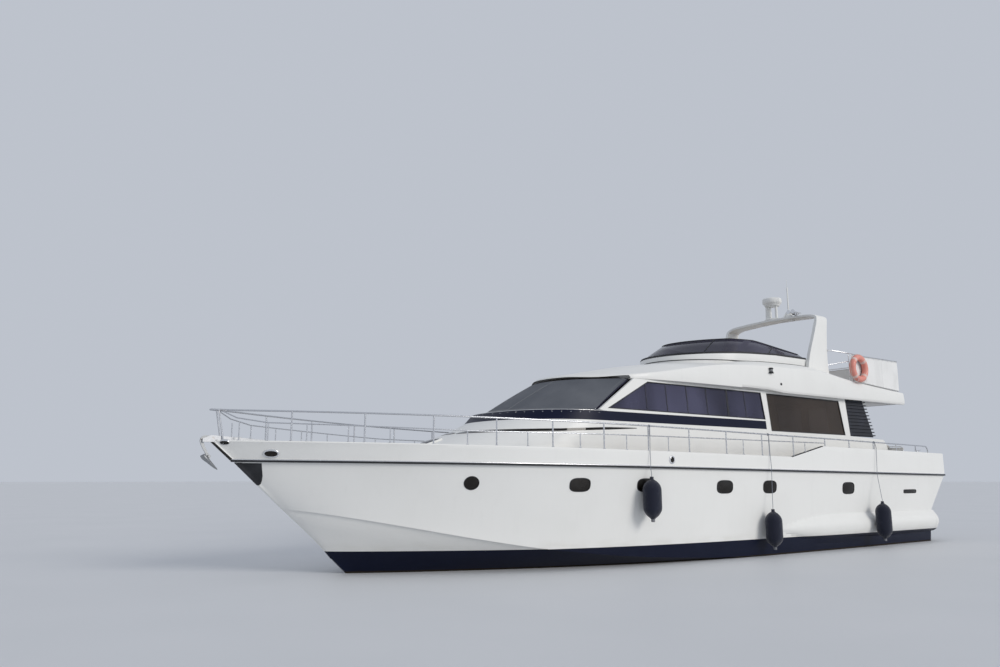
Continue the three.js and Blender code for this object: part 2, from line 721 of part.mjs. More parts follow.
function makeRoof() {
  const brow = loft(BROW_STATIONS.map(browRing));
  const sole = box(FLY_END, -900, -1600, 1600, ROOF_UNDER, FLY_SOLE);
  const aft = box(FLY_END, FLY_END + 100, -1900, 1900, ROOF_UNDER, ROOF_AFT_TOP);
  const well = box(-8000, -1480, -1480, 1480, FLY_SOLE, 5000);
  const side = makeCoaming();
  const hatch = box(
    LADDER_HATCH.aft, LADDER_HATCH.front, -LADDER_HATCH.outer, -LADDER_HATCH.inner, 3800, 4400,
  );
  return cut(join(cut(brow, well), sole, aft, side, mirrored(side)), hatch, houseWalls);
}

const roof = add('roof', makeRoof(), gelcoat);
add('windscreen_cover', cut(coverSheet, houseWalls, windscreen, roof, roof.translate([0, 0, -GAP])), mesh);

// Flybridge screen coaming and its smoked screen, on one plan: a half ellipse and two straight sides
const FLY_PLAN = { nose: -830, ellipse: 2100, half: 1520, aft: -5180 };

function flyPlan(u, inset) {
  const around = Math.abs(2 * u - 1);
  const side = Math.sign(2 * u - 1);
  const bend = 0.62; // this share of each half goes round the ellipse
  const half = FLY_PLAN.half - inset * 0.35;
  const nose = FLY_PLAN.nose - inset;
  if (around <= bend) {
    const angle = (Math.PI / 2) * (around / bend);
    const x = nose - FLY_PLAN.ellipse * (1 - Math.cos(angle));
    return [x, side * half * Math.sin(angle)];
  }
  const along = (around - bend) / (1 - bend);
  return [THREE.MathUtils.lerp(nose - FLY_PLAN.ellipse, FLY_PLAN.aft, along), side * half];
}

const glassFoot = (x) => Math.min(4830 + (FLY_PLAN.nose - x) * 0.045, 4965);
const glassHead = (x) => Math.min(5180 + (FLY_PLAN.nose - x) * 0.07, 5320, 5135 + (x - FLY_PLAN.aft) * 0.11);

function flyCoamingPoint(u, v) {
  const [x, y] = flyPlan(u, -40 + 40 * v);
  return new THREE.Vector3(x, y, THREE.MathUtils.lerp(4150, glassFoot(x), v));
}

function flyScreenPoint(u, v) {
  const [x, y] = flyPlan(u, 20 + 700 * v);
  const [footX] = flyPlan(u, 0);
  return new THREE.Vector3(x, y, THREE.MathUtils.lerp(glassFoot(footX) + 2, glassHead(x), v));
}

const towardsMiddle = (thickness) => (u) => {
  const angle = (Math.PI / 2) * (2 * u - 1);
  return new THREE.Vector3(-thickness * Math.cos(angle), -thickness * Math.sin(angle), 0);
};

const coamingWall = thickSheet(flyCoamingPoint, towardsMiddle(90), 32, 2);
const flyCoaming = add('fly_coaming', cut(coamingWall, roof, roof.translate([0, 0, GAP])), gelcoat);
const smokedSheet = thickSheet(flyScreenPoint, towardsMiddle(14), 32, 2);
add('fly_screen', restOn(smokedSheet, flyCoaming), darkGlass);

// Radar arch: a broad plate that goes up one leg, across and down the other.
// Columns: half breadth, height, front edge, aft edge.
const ARCH_STATIONS = [
  [1700, 4500, -4980, -5980],
  [1640, 5000, -5180, -6030],
  [1600, 5900, -5620, -6160],
  [1540, 6160, -5730, -6230],
  [1380, 6290, -5760, -6250],
  [900, 6370, -5760, -6250],
  [0, 6400, -5760, -6250],
];
const ARCH_THICKNESS = 120;

function makeArch() {
  const outer = ARCH_STATIONS.map(([y, z, front, aft]) => ({ y, z, front, aft }));
  const path = [...outer, ...outer.slice(0, -1).reverse().map((row) => ({ ...row, y: -row.y }))];
  const last = path.length - 1;
  const inward = (k) => {
    const [a, b] = [path[Math.max(k - 1, 0)], path[Math.min(k + 1, last)]];
    const along = new THREE.Vector2(b.y - a.y, b.z - a.z).normalize();
    return new THREE.Vector2(-along.y, along.x).multiplyScalar(-1);
  };
  const at = (u, v) => {
    const row = path[Math.round(u * last)];
    return new THREE.Vector3(THREE.MathUtils.lerp(row.front, row.aft, v), row.y, row.z);
  };
  const depth = (u) => {
    const way = inward(Math.round(u * last));
    const towardsCentre = way.x * path[Math.round(u * last)].y > 0 || way.y > 0 ? -1 : 1;
    way.multiplyScalar(towardsCentre * ARCH_THICKNESS);
    return new THREE.Vector3(0, way.x, way.y);
  };
  const whole = thickSheet(at, depth, last, 1);
  return cut(whole, roof, roof.translate([0, 0, GAP]), flyCoaming, flyCoaming.translate([0, 0, GAP]));
}

const arch = add('radar_arch', makeArch(), gelcoat);

// Radome on its stand, and a whip aerial beside it
const RADOME_X = -5990;
const RADOME_Y = -40;
const RADOME_LIFT = 425; // how far its underside stands over its seat on the arch

function lathe(profile, x, y, z, sides = 20) {
  const points = profile.map(([radius, height]) => new THREE.Vector2(radius, height));
  const geometry = new THREE.LatheGeometry(points, sides);
  return solidOf(geometry.rotateX(Math.PI / 2).translate(x, y, z));
}

function makeRadome() {
  const seat = ARCH_TOP + 98;
  const base = box(RADOME_X - 200, RADOME_X + 200, RADOME_Y - 250, RADOME_Y + 250, seat - 40, seat + 40);
  const post = (y) => rod([RADOME_X, y, seat], [RADOME_X, y, seat + RADOME_LIFT + 40], 55, 10, 45);
  const plateProfile = [[0, 0], [190, 0], [190, 30], [0, 30]];
  const table = lathe(plateProfile, RADOME_X, RADOME_Y, seat + RADOME_LIFT - 25, 16);
  const bowl = [[0, 0], [205, 0], [228, 60], [272, 85]];
  const drum = [[277, 120], [277, 190], [262, 228], [225, 243], [0, 247]];
  const dome = lathe([...bowl, ...drum], RADOME_X, RADOME_Y, seat + RADOME_LIFT);
  const whole = join(base, post(RADOME_Y - 120), post(RADOME_Y + 120), table, dome);
  return cut(whole, arch, arch.translate([0, 0, GAP]));
}

add('radome', makeRadome(), gelcoat);

function makeAerial() {
  const [x, y] = [-6000, 500];
  const foot = rod([x, y, 6300], [x, y, 6580], 165, 12, 35);
  const whip = rod([x, y, 6500], [x, y, 7560], 22, 8, 8);
  return cut(join(foot, whip), arch, arch.translate([0, 0, GAP]));
}

add('aerial', makeAerial(), gelcoat);

// Flybridge console with its wheel, seats, aft rail, cloth dodger and lifebuoy
const FLY_DASH = { top: [-2480, 4900], high: 300, tilt: 0.55 };
const HELM_DASH = { top: [1900, 3150], high: 330, tilt: 0.5 };
const HUB_LENGTH = 90; // from the dash to the middle of the wheel

const dashFoot = ({ top: [x, z], high, tilt }) => [x - high * Math.sin(tilt), z - high * Math.cos(tilt)];

// The place of a wheel on the middle of its dash, which leans back by the tilt.
function wheelPlace(dash, y, radius) {
  const [x, z] = dashFoot(dash);
  const { tilt } = dash;
  const middle = [(dash.top[0] + x) / 2, (dash.top[1] + z) / 2];
  const out = [-HUB_LENGTH * Math.cos(tilt), HUB_LENGTH * Math.sin(tilt)];
  return { x: middle[0] + out[0], y, z: middle[1] + out[1], tilt, radius };
}

function makeFlyConsole() {
  const floor = FLY_SOLE + GAP;
  const outline = [
    [-1750, floor], [-1480, 4700], [-1900, 4960], [-2440, 4940], FLY_DASH.top, dashFoot(FLY_DASH),
    [-2540, floor],
  ];
  return cut(plate(outline, -150, 880), roof, roof.translate([0, 0, GAP]));
}

// A wheel on a short hub whose axis points aft and up.
function makeWheel({ x, y, z, tilt, radius }) {
  const rim = new THREE.TorusGeometry(radius, 16, 5, 16);
  const hubLength = HUB_LENGTH - CLEAR + 10;
  const hub = new THREE.CylinderGeometry(42, 42, hubLength, 12).rotateX(Math.PI / 2);
  const parts = [solidOf(rim), solidOf(hub.translate(0, 0, 10 - hubLength / 2))];
  for (let k = 0; k < 3; k++) {
    const spoke = new THREE.BoxGeometry(radius, 26, 12).translate(radius / 2, 0, 0);
    parts.push(solidOf(spoke.rotateZ((2 * Math.PI * k) / 3 + Math.PI / 2)));
  }
  const turn = new THREE.Matrix4().makeRotationY(-(Math.PI / 2 - tilt)).setPosition(x, y, z);
  return join(...parts).transform(turn.elements);
}

add('fly_console', makeFlyConsole(), gelcoat);
add('fly_wheel', makeWheel(wheelPlace(FLY_DASH, 420, 190)), steel);

function makeFlySeats() {
  const floor = FLY_SOLE + GAP;
  const helm = box(-3900, -3350, 100, 1150, floor, floor + 480);
  const back = box(-3980, -3880, 100, 1150, floor, floor + 850);
  return join(helm, back);
}

add('fly_helm_seat', makeFlySeats(), leather);

function makeFlySofa() {
  const floor = FLY_SOLE + GAP;
  const seat = box(-7250, -4900, -1400, -850, floor, floor + 420);
  const turn = box(-5500, -4900, -900, 200, floor, floor + 420);
  const back = box(-7250, -4900, -1410, -1290, floor + 300, floor + 760);
  return join(seat, turn, back);
}

add('fly_sofa', makeFlySofa(), leather);

const FLY_RAIL = { half: 1880, aft: FLY_END + 60, front: -6650, z: 5200, radius: 16 };

function makeFlyRail() {
  const { half, aft, front, z, radius } = FLY_RAIL;
  const top = [[-6110, 1640, z + 92], [-6200, 1680, z + 90], [front, half, z + 30], [-7300, half, z]];
  top.push([aft + 250, half, z], [aft, half - 250, z], [aft, 0, z]);
  const whole = [...top, ...top.slice(0, -1).reverse().map(([x, y, height]) => [x, -y, height])];
  const posts = [];
  for (const side of [-1, 1]) {
    posts.push(rod([-6075, side * 1640, z - 330], [front, side * half, z - 200], radius * 0.7, 8));
  }
  for (const x of [front, -7300, -8300, -9000]) {
    for (const side of [-1, 1]) posts.push(rod([x, side * half, 4250], [x, side * half, z], radius, 8));
  }
  for (const y of [-800, 800]) posts.push(rod([aft, y, 4250], [aft, y, z], radius, 8));
  const solids = [roof, roof.translate([0, 0, GAP]), arch, arch.translate([-GAP, 0, 0])];
  return cut(join(bentTube(whole, radius, 8), ...posts), ...solids);
}

const flyRail = add('fly_rail', makeFlyRail(), steel);

// The dodger is a thin cloth wall laced outside the rail, open at the front.
const DODGER_THICKNESS = 10;

function makeDodger() {
  const out = FLY_RAIL.half + 30;
  const aft = FLY_RAIL.aft - 30;
  const outer = slab([[-6700, out], [aft, out], [aft, -out], [-6700, -out]], 4300, 5185);
  const [side, end] = [out - DODGER_THICKNESS, aft + DODGER_THICKNESS];
  const inner = slab([[-6600, side], [end, side], [end, -side], [-6600, -side]], 4000, 5400);
  return cut(outer, inner, roof, roof.translate([0, 0, GAP]), flyRail);
}

add('dodger', makeDodger(), cloth);

function makeLifebuoy() {
  const ring = new THREE.TorusGeometry(310, 85, 6, 20);
  return solidOf(ring.rotateX(Math.PI / 2).translate(-6900, FLY_RAIL.half + 125, 4800));
}

add('lifebuoy', makeLifebuoy(), orange);

// Bow and side rails: a top rail, a middle rail and upright stanchions on the bulwark cap.
const topRailHeight = (x) => 2800 + 14.5e-3 * x;
const STANCHIONS = [9040, 7890, 6730, 5570, 4420, 3240, 2080, 860, -360, -1630, -2830];
const QUARTER_STANCHIONS = [-4150, -5240, -6410, -7600, -8700];
const RAIL_RADIUS = 14;
const INBOARD = 50;
const railSide = (x) => Math.max(halfBreadth(x, CAP_TIP) - INBOARD, 24);
const railPoint = (x) => [x, railSide(x), topRailHeight(x)];
const middleRailHeight = (x) => 2625 + Math.max(x - 6000, 0) * 0.03;
const stanchion = (x) => rod([x, railSide(x), capHeight(x) + 0.8], railPoint(x), RAIL_RADIUS, 4);

function makeSideRail() {
  const top = [[10280, 24, topRailHeight(10280)], [10120, 75, topRailHeight(10120)]];
  for (const x of [9800, 9400, ...STANCHIONS, ...QUARTER_STANCHIONS, -9350]) top.push(railPoint(x));
  top.push([-9420, railSide(-9350), 2400]);
  const middle = [[10080, 90, 2920], [9860, railSide(9860), 2810], [9400, railSide(9400), 2750]];
  for (const x of STANCHIONS) middle.push([x, railSide(x), middleRailHeight(x)]);
  middle.push([-4150, railSide(-4150), 2530]);
  const posts = [rod([10040, 80, 2360], [10150, 72, topRailHeight(10150)], RAIL_RADIUS, 4)];
  for (const x of [...STANCHIONS, ...QUARTER_STANCHIONS]) posts.push(stanchion(x));
  const whole = join(bentTube(top, RAIL_RADIUS, 5), bentTube(middle, RAIL_RADIUS - 3, 5), ...posts);
  return restOn(whole, deck);
}

addPair('side_rail', makeSideRail(), steel);

// Anchor gear: bow roller, stowed anchor and windlass
function makeBowRoller() {
  const cheeks = plate([[9300, 2440], [10250, 2500], [10390, 2440], [10390, 2380], [9300, 2400]], -60, 60);
  const slot = box(9400, 10500, -42, 42, 2410, 2600);
  const roller = rod([10330, -60, 2425], [10330, 60, 2425], 34, 12);
  return restOn(cut(join(cut(cheeks, slot), roller), deck.translate([GAP, 0, 0])), deck);
}

const bowRoller = add('bow_roller', makeBowRoller(), steel);

function makeAnchor() {
  const bentBar = [
    [9700, 2478], [10290, 2478], [10370, 2500], [10440, 2420], [10260, 2120], [10230, 2140],
    [10390, 2420], [10340, 2462], [9700, 2446],
  ];
  const shank = plate(bentBar, -18, 18);
  const fluke = plate([[10200, 2150], [10330, 2180], [10250, 1990], [10090, 1900]], -150, 150);
  const clear = cut(join(shank, fluke), bowRoller.translate([GAP, 0, 0]), deck, deck.translate([GAP, 0, 0]));
  return restOn(clear, bowRoller);
}

add('anchor', makeAnchor(), steel);

function makeWindlass() {
  const z = deckHeight(8500);
  const body = box(8300, 8650, -150, 150, z - 40, z + 140);
  const drum = rod([8470, -260, z + 110], [8470, 260, z + 110], 75, 14);
  return restOn(join(body, drum), deck);
}

add('windlass', makeWindlass(), steel);

// Forepeak lid, which lies on the foredeck over its opening
function makeForeHatch() {
  const { aft, front, half } = FORE_HATCH;
  const low = deckHeight(front) + CLEAR;
  return box(aft - 30, front + 30, -half - 30, half + 30, low, low + 45);
}

add('fore_hatch', makeForeHatch(), gelcoat);

// Cockpit: bench with its cushion, table, gates at the stairs, hatch to the engines
const COCKPIT_SOLE = deckHeight(-8800);

function makeBench() {
  return restOn(box(TRANSOM + 60, -8750, -1400, 1400, COCKPIT_SOLE - 60, COCKPIT_SOLE + 380), deck);
}

const benchBase = add('cockpit_bench', makeBench(), gelcoat);
add('cockpit_cushion', join(
  box(TRANSOM + 170, -8760, -1380, 1380, COCKPIT_SOLE + 380 + GAP, COCKPIT_SOLE + 480),
  box(TRANSOM + 70, TRANSOM + 190, -1380, 1380, COCKPIT_SOLE + 380 + GAP, COCKPIT_SOLE + 800),
), leather);

function makeTable() {
  const foot = COCKPIT_SOLE - 60;
  const x = -8275;
  const leg = rod([x, 0, foot], [x, 0, COCKPIT_SOLE + 700], 50, 12);
  const flange = rod([x, 0, foot], [x, 0, COCKPIT_SOLE + 30], 180, 12);
  const top = box(x - 325, x + 325, -650, 650, COCKPIT_SOLE + 690, COCKPIT_SOLE + 730);
  return restOn(join(leg, flange, top), deck);
}

add('cockpit_table', makeTable(), teak);

function makeGate() {
  const z = deckHeight(stairTop) + 40;
  const x = stairTop + 60;
  return box(x - 16, x + 16, STAIR_INNER + 40, STAIR_OUTER - 40, z, z + 620);
}

addPair('stair_gate', makeGate(), gelcoat);

function makeEngineHatch() {
  const { aft, front, half } = ENGINE_HATCH;
  const z = deckHeight(-7400) + 10;
  return box(aft + CLEAR, front - CLEAR, -half + CLEAR, half - CLEAR, z - 50, z);
}

add('engine_hatch', makeEngineHatch(), teak);

// Ladder from the cockpit to the flybridge, with the lid over it
function makeLadder() {
  const [y0, y1] = [-1400, -860];
  const low = deckHeight(-7600);
  const side = [[-8150, low - 60], [-8030, low - 60], [-7480, 3925], [-7600, 3925]];
  const parts = [y0, y1].map((y) => plate(side, y - 15, y + 15));
  const rungs = 7;
  for (let k = 1; k < rungs; k++) {
    const t = k / rungs;
    const [x, z] = [-8090 + 550 * t, low + (3925 - low) * t];
    parts.push(box(x - 110, x + 110, y0, y1, z - 16, z + 16));
  }
  return cut(restOn(join(...parts), deck), roof, roof.translate([0, 0, -GAP]));
}

add('fly_ladder', makeLadder(), steel);

function makeLadderLid() {
  const { aft, front, inner, outer } = LADDER_HATCH;
  return box(aft + CLEAR, front - CLEAR, -outer + CLEAR, -inner - CLEAR, FLY_SOLE - 30, FLY_SOLE + 14);
}

add('fly_hatch', makeLadderLid(), gelcoat);

// What shows through the saloon windows: helm console with its wheel, helm seat and sofa
function makeHelmConsole() {
  const outline = [[2500, 1900], [2500, 3150], HELM_DASH.top, dashFoot(HELM_DASH), [1800, 1900]];
  return restOn(plate(outline, -1500, 200), deck);
}

add('helm_console', makeHelmConsole(), black);
add('helm_wheel', makeWheel(wheelPlace(HELM_DASH, -700, 200)), steel);

function makeHelmSeat() {
  const z = deckHeight(500);
  const post = rod([450, -700, z - 60], [450, -700, z + 600], 60, 12);
  const seat = box(200, 750, -1000, -400, z + 560, z + 680);
  const back = box(120, 220, -1000, -400, z + 600, z + 1250);
  return restOn(join(post, seat, back), deck);
}

add('helm_seat', makeHelmSeat(), leather);

function makeSofa() {
  const z = deckHeight(-4500) - 80;
  const seat = box(-5900, -3300, 900, 1650, z, z + 500);
  const back = box(-5900, -3300, 1500, 1650, z + 400, z + 900);
  return restOn(join(seat, back), deck);
}

add('saloon_sofa', makeSofa(), leather);

// Engines: one plain block each, at their real place and size
function makeEngine() {
  return box(-6900, -5000, SHAFT_HALF_SPAN - 450, SHAFT_HALF_SPAN + 450, ENGINE_ROOM.floor + GAP, 950);
}

addPair('engine', makeEngine(), ironGrey);

// Propellers with their shafts, the brackets that carry them, and the rudders
// Columns of a blade: radius, half chord, pitch angle, thickness.
const BLADE_STATIONS = [
  [40, 60, 0.95, 26],
  [160, 130, 0.75, 20],
  [280, 140, 0.55, 14],
  [370, 60, 0.42, 8],
];

function makePropeller() {
  const shaft = rod(onShaft(SHAFT_START), onShaft(PROPELLER_X - 60), SHAFT_RADIUS, 12);
  const hub = rod(onShaft(PROPELLER_X + 90), onShaft(PROPELLER_X - 110), 75, 14, 55);
  const parts = [shaft, hub];
  const blade = loft(BLADE_STATIONS.map(([radius, chord, pitch, thick]) => {
    const [c, s] = [Math.cos(pitch), Math.sin(pitch)];
    const section = [[-chord, 0], [0, thick / 2], [chord, 0], [0, -thick / 2]];
    return section.map(([a, b]) => [a * s + b * c, a * c - b * s, radius]);
  }), 2);
  const blades = 4;
  for (let k = 0; k < blades; k++) {
    const turn = new THREE.Matrix4().makeRotationX((2 * Math.PI * k) / blades);
    const lean = new THREE.Matrix4().makeRotationY(-Math.atan(SHAFT_SLOPE));
    const place = new THREE.Matrix4().makeTranslation(...onShaft(PROPELLER_X));
    parts.push(blade.transform(place.multiply(lean).multiply(turn).elements));
  }
  return join(...parts);
}

addPair('propeller', makePropeller(), bronze);

const BRACKET_X = -7480;

function makeBracket() {
  const barrel = cut(
    rod(onShaft(BRACKET_X + 90), onShaft(BRACKET_X - 90), 62, 14),
    rod(onShaft(BRACKET_X + 200), onShaft(BRACKET_X - 200), SHAFT_RADIUS + CLEAR, 12),
  );
  const z = shaftHeight(BRACKET_X);
  const side = [
    [BRACKET_X - 70, z + 45], [BRACKET_X + 70, z + 60], [BRACKET_X + 150, -350], [BRACKET_X - 60, -350],
  ];
  const strut = plate(side, SHAFT_HALF_SPAN - 14, SHAFT_HALF_SPAN + 14);
  return cut(join(barrel, strut), hull, hull.translate([0, 0, -GAP]));
}

addPair('shaft_bracket', makeBracket(), bronze);

function makeRudder() {
  const [x, y] = [RUDDER_X, SHAFT_HALF_SPAN];
  const stock = rod([x, y, STOCK_TOP], [x, y, -900], STOCK_RADIUS, 12);
  const section = (front, aft, thick, z) => [
    [x + front, y, z], [x + front * 0.3, y + thick, z], [x - aft, y, z], [x + front * 0.3, y - thick, z],
  ];
  const blade = loft([section(150, 360, 42, -660), section(130, 300, 34, -1290)], 2);
  return join(stock, blade);
}

addPair('rudder', makeRudder(), bronze);

// Fenders hung over the port side: x, top and length of the body, how far its middle stands off the bulwark,
// and x of the lanyard's hitch on the rail
const FENDERS = {
  forward: [2170, 1790, 900, 100, 2050],
  middle: [-1685, 1060, 900, 105, -1870],
  aft: [-6130, 1170, 1000, 230, -6450],
};
const FENDER_RADIUS = 190;
const EYE_RADIUS = 32; // of the moulded eye at each end
const LANYARD_RADIUS = 10;

// The lanyard bends over the rub rail and over the cap on its way to the top rail.
function makeFender([x, top, length, standOff, hitch]) {
  const bulwark = halfBreadth(x, CAP_TIP);
  const side = bulwark + standOff;
  const low = top - length;
  const radius = FENDER_RADIUS;
  const above = (z) => x + (hitch - x) * ((z - top) / (topRailHeight(hitch) - top));
  const atCap = above(capHeight(x));
  const atJoint = above(jointHeight(x));
  const profile = [
    [0, low], [EYE_RADIUS, low], [EYE_RADIUS + 12, low + 60], [radius * 0.8, low + 110], [radius, low + 200],
    [radius, top - 280], [radius * 0.78, top - 130], [EYE_RADIUS + 12, top - 60], [EYE_RADIUS, top], [0, top],
  ];
  const body = lathe(profile, x, side, 0, 16);
  const route = [
    [x, side, top - 40],
    [atJoint, bulwark + RAIL_OUT + LANYARD_RADIUS + 6, jointHeight(x)],
    [atCap, bulwark + LANYARD_RADIUS + 12, capHeight(x) + 12],
    [hitch, railSide(hitch) + RAIL_RADIUS + LANYARD_RADIUS + 1, topRailHeight(hitch)],
  ];
  return join(body, bentTube(route, LANYARD_RADIUS));
}

for (const [name, place] of Object.entries(FENDERS)) {
  add(`fender_${name}`, makeFender(place), fenderBlue);
}

export default yacht;
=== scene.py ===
from math import atan, copysign, cos, hypot, pi, radians, sin, sqrt

import bmesh
import bpy
import numpy as np
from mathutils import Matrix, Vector


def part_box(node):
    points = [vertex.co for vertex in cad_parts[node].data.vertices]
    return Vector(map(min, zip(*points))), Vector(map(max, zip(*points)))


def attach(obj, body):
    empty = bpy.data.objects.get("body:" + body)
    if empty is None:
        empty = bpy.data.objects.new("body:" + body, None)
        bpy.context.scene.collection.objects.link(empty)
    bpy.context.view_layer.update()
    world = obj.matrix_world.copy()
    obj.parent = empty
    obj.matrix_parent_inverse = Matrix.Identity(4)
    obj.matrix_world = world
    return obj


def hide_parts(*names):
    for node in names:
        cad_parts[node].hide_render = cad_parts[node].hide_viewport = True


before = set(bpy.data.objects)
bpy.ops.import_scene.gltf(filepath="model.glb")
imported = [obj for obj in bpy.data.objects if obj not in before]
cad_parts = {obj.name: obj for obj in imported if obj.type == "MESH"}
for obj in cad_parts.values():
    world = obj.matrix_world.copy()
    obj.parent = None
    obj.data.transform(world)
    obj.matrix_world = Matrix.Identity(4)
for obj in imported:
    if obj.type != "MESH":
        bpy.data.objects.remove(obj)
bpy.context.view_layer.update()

# The camera stands on a pontoon off the port bow, at a person's eye height over the water, with the boat's
# bow to the left of the picture and its stern to the right.
def placed(name, data):
    """A new object in the scene."""
    made = bpy.data.objects.new(name, data)
    bpy.context.scene.collection.objects.link(made)
    return made


lens = bpy.data.cameras.new("camera")
lens.lens = 28.8
camera = placed("camera", lens)
camera.location = (14.245, 14.427, 1.763)
camera.rotation_euler = (radians(100.24), 0, radians(144.74))
bpy.context.scene.camera = camera


# The studio: a pale floor at the waterline, a soft sun from the port quarter and an even pale sky. A shader
# is written with two small classes, which are used for every finish below.
class Signal:
    """A value that runs between the nodes of a finish. Sums and products of signals are nodes too."""

    def __init__(self, finish, socket):
        self.finish = finish
        self.socket = socket

    def worked(self, operation, *values):
        return self.finish.node("Math", {"operation": operation}, dict(enumerate(values)))

    def __add__(self, other):
        return self.worked("ADD", self, other)

    def __sub__(self, other):
        return self.worked("SUBTRACT", self, other)

    def __mul__(self, other):
        return self.worked("MULTIPLY", self, other)

    def __truediv__(self, other):
        return self.worked("DIVIDE", self, other)

    def __rsub__(self, other):
        return self.worked("SUBTRACT", other, self)

    def __mod__(self, pitch):
        return self.worked("FLOORED_MODULO", self, pitch)

    def __abs__(self):
        return self.worked("ABSOLUTE", self)

    __radd__ = __add__
    __rmul__ = __mul__

    def ramp(self, low, high):
        """0 at low and 1 at high, smooth between."""
        settings = {"interpolation_type": "SMOOTHSTEP"}
        return self.finish.node("MapRange", settings, {0: self, 1: low, 2: high})

    def within(self, low, high, soft=0.002):
        """1 between low and high."""
        return self.ramp(low - soft, low + soft) * (1 - self.ramp(high - soft, high + soft))


class Finish:
    """A surface's finish. What is the same all over is set on the shader, the rest comes from nodes."""

    def __init__(self, name, slot="gelcoat", **fixed):
        self.slot = slot  # the record's name for what a piece with this finish is made of
        self.material = bpy.data.materials.new(name)
        self.material.use_nodes = True
        self.nodes = self.material.node_tree.nodes
        self.shader = self.nodes["Principled BSDF"]
        self.set(**fixed)
        self.place = self.node("TexCoord", {}, {}, out=3)
        self.x, self.y, self.z = (self.node("SeparateXYZ", {}, {0: self.place}, out=k) for k in range(3))

    def put(self, socket, value):
        if isinstance(value, Signal):
            self.material.node_tree.links.new(socket, value.socket)
        elif isinstance(value, tuple) and socket.type == "RGBA":
            socket.default_value = (*value, 1)
        else:
            socket.default_value = value

    def node(self, kind, settings, values, out=0):
        node = self.nodes.new("ShaderNode" + kind)
        for key, value in settings.items():
            setattr(node, key, value)
        for key, value in values.items():
            self.put(node.inputs[key], value)
        return Signal(self, node.outputs[out])

    def noise(self, scale, detail=3, stretch=(1, 1, 1)):
        """Cloudy noise from 0 to 1, so many waves to the metre, drawn out along the axes."""
        spread = self.node("Mapping", {}, {"Vector": self.place, "Scale": stretch})
        return self.node("TexNoise", {}, {"Vector": spread, "Scale": scale, "Detail": detail})

    def mix(self, share, first, second):
        return self.node("Mix", {"data_type": "RGBA"}, {0: share, 6: first, 7: second}, out=2)

    def set(self, **values):
        for socket, value in values.items():
            self.put(self.shader.inputs[socket.replace("_", " ")], value)
        return self

    def paint(self, share, first, second, **more):
        """Colours the surface from the first shade to the second as the share goes from 0 to 1."""
        return self.set(Base_Color=self.mix(share, first, second), **more)

    def bump(self, height, distance):
        """Raises the surface by the signal times a distance in metres."""
        return self.set(Normal=self.node("Bump", {}, {"Strength": 1, "Distance": distance, "Height": height}))


def make_studio():
    """The floor, the sun and the sky."""
    paving = Finish("studio_floor", Roughness=0.55)
    paving.paint(paving.noise(0.35, 2), (0.62, 0.635, 0.655), (0.67, 0.68, 0.7))
    mesh = bpy.data.meshes.new("studio_floor")
    reach = 400
    corners = [(-reach, -reach, 0), (reach, -reach, 0), (reach, reach, 0), (-reach, reach, 0)]
    mesh.from_pydata(corners, [], [(0, 1, 2, 3)])
    mesh.materials.append(paving.material)
    placed("studio_floor", mesh)
    sun = bpy.data.lights.new("soft_sun", "SUN")
    sun.energy = 1.55
    sun.angle = radians(24)
    sun.color = (1, 0.965, 0.91)
    towards = Vector((-0.26, 0.82, 0.38))
    placed("soft_sun", sun).rotation_euler = towards.to_track_quat("Z", "Y").to_euler()
    sky = bpy.data.worlds.new("studio_sky")
    sky.use_nodes = True
    background = sky.node_tree.nodes["Background"]
    background.inputs["Color"].default_value = (0.7, 0.745, 0.83, 1)
    background.inputs["Strength"].default_value = 0.73
    bpy.context.scene.world = sky
    bpy.context.scene.view_settings.view_transform = "Standard"


make_studio()


# Hull: a deep vee planing hull of glass fibre, laid up in one mould and polished. The sides flare to the bow
# over a knuckle, and each quarter carries a smooth swelling. The boot-top is navy and the bottom brown.
TIP = {"joint": 9.83, "cap": 10.23}  # foremost points of the deck joint and of the bulwark cap
TRANSOM = -9.4
QUARTER_END = -10.2
HALF_BEAM = 2.62
FULL_FROM = 1.0
RUN_FROM = -3.0
SHEER = 0.0105  # rise of the deck for each metre forward


def joint_height(x):
    return 1.965 + SHEER * x


def deck_height(x):
    return joint_height(x) + 0.0803


def half_breadth(x, tip):
    forward = max(x - FULL_FROM, 0) / (TIP[tip] - FULL_FROM)
    aft = max(RUN_FROM - x, 0) / (RUN_FROM - TRANSOM)
    return HALF_BEAM * (1 - min(forward, 1) ** 2.3) - 0.12 * aft**2


def faired(rows):
    """A fair curve through the rows of a table. The first column is the place along it."""
    table = np.array(sorted(rows), float)
    place, rest = table[:, 0], table[:, 1:]
    slopes = np.diff(rest, axis=0) / np.diff(place)[:, None]
    bends = np.vstack([slopes[:1], (slopes[1:] + slopes[:-1]) / 2, slopes[-1:]])

    def at(x):
        k = int(np.clip(np.searchsorted(place, x) - 1, 0, len(place) - 2))
        step = place[k + 1] - place[k]
        t = (x - place[k]) / step
        near = (1 + 2 * t) * (1 - t) ** 2 * rest[k] + t * (1 - t) ** 2 * step * bends[k]
        return near + t * t * (3 - 2 * t) * rest[k + 1] + t * t * (t - 1) * step * bends[k + 1]

    return at


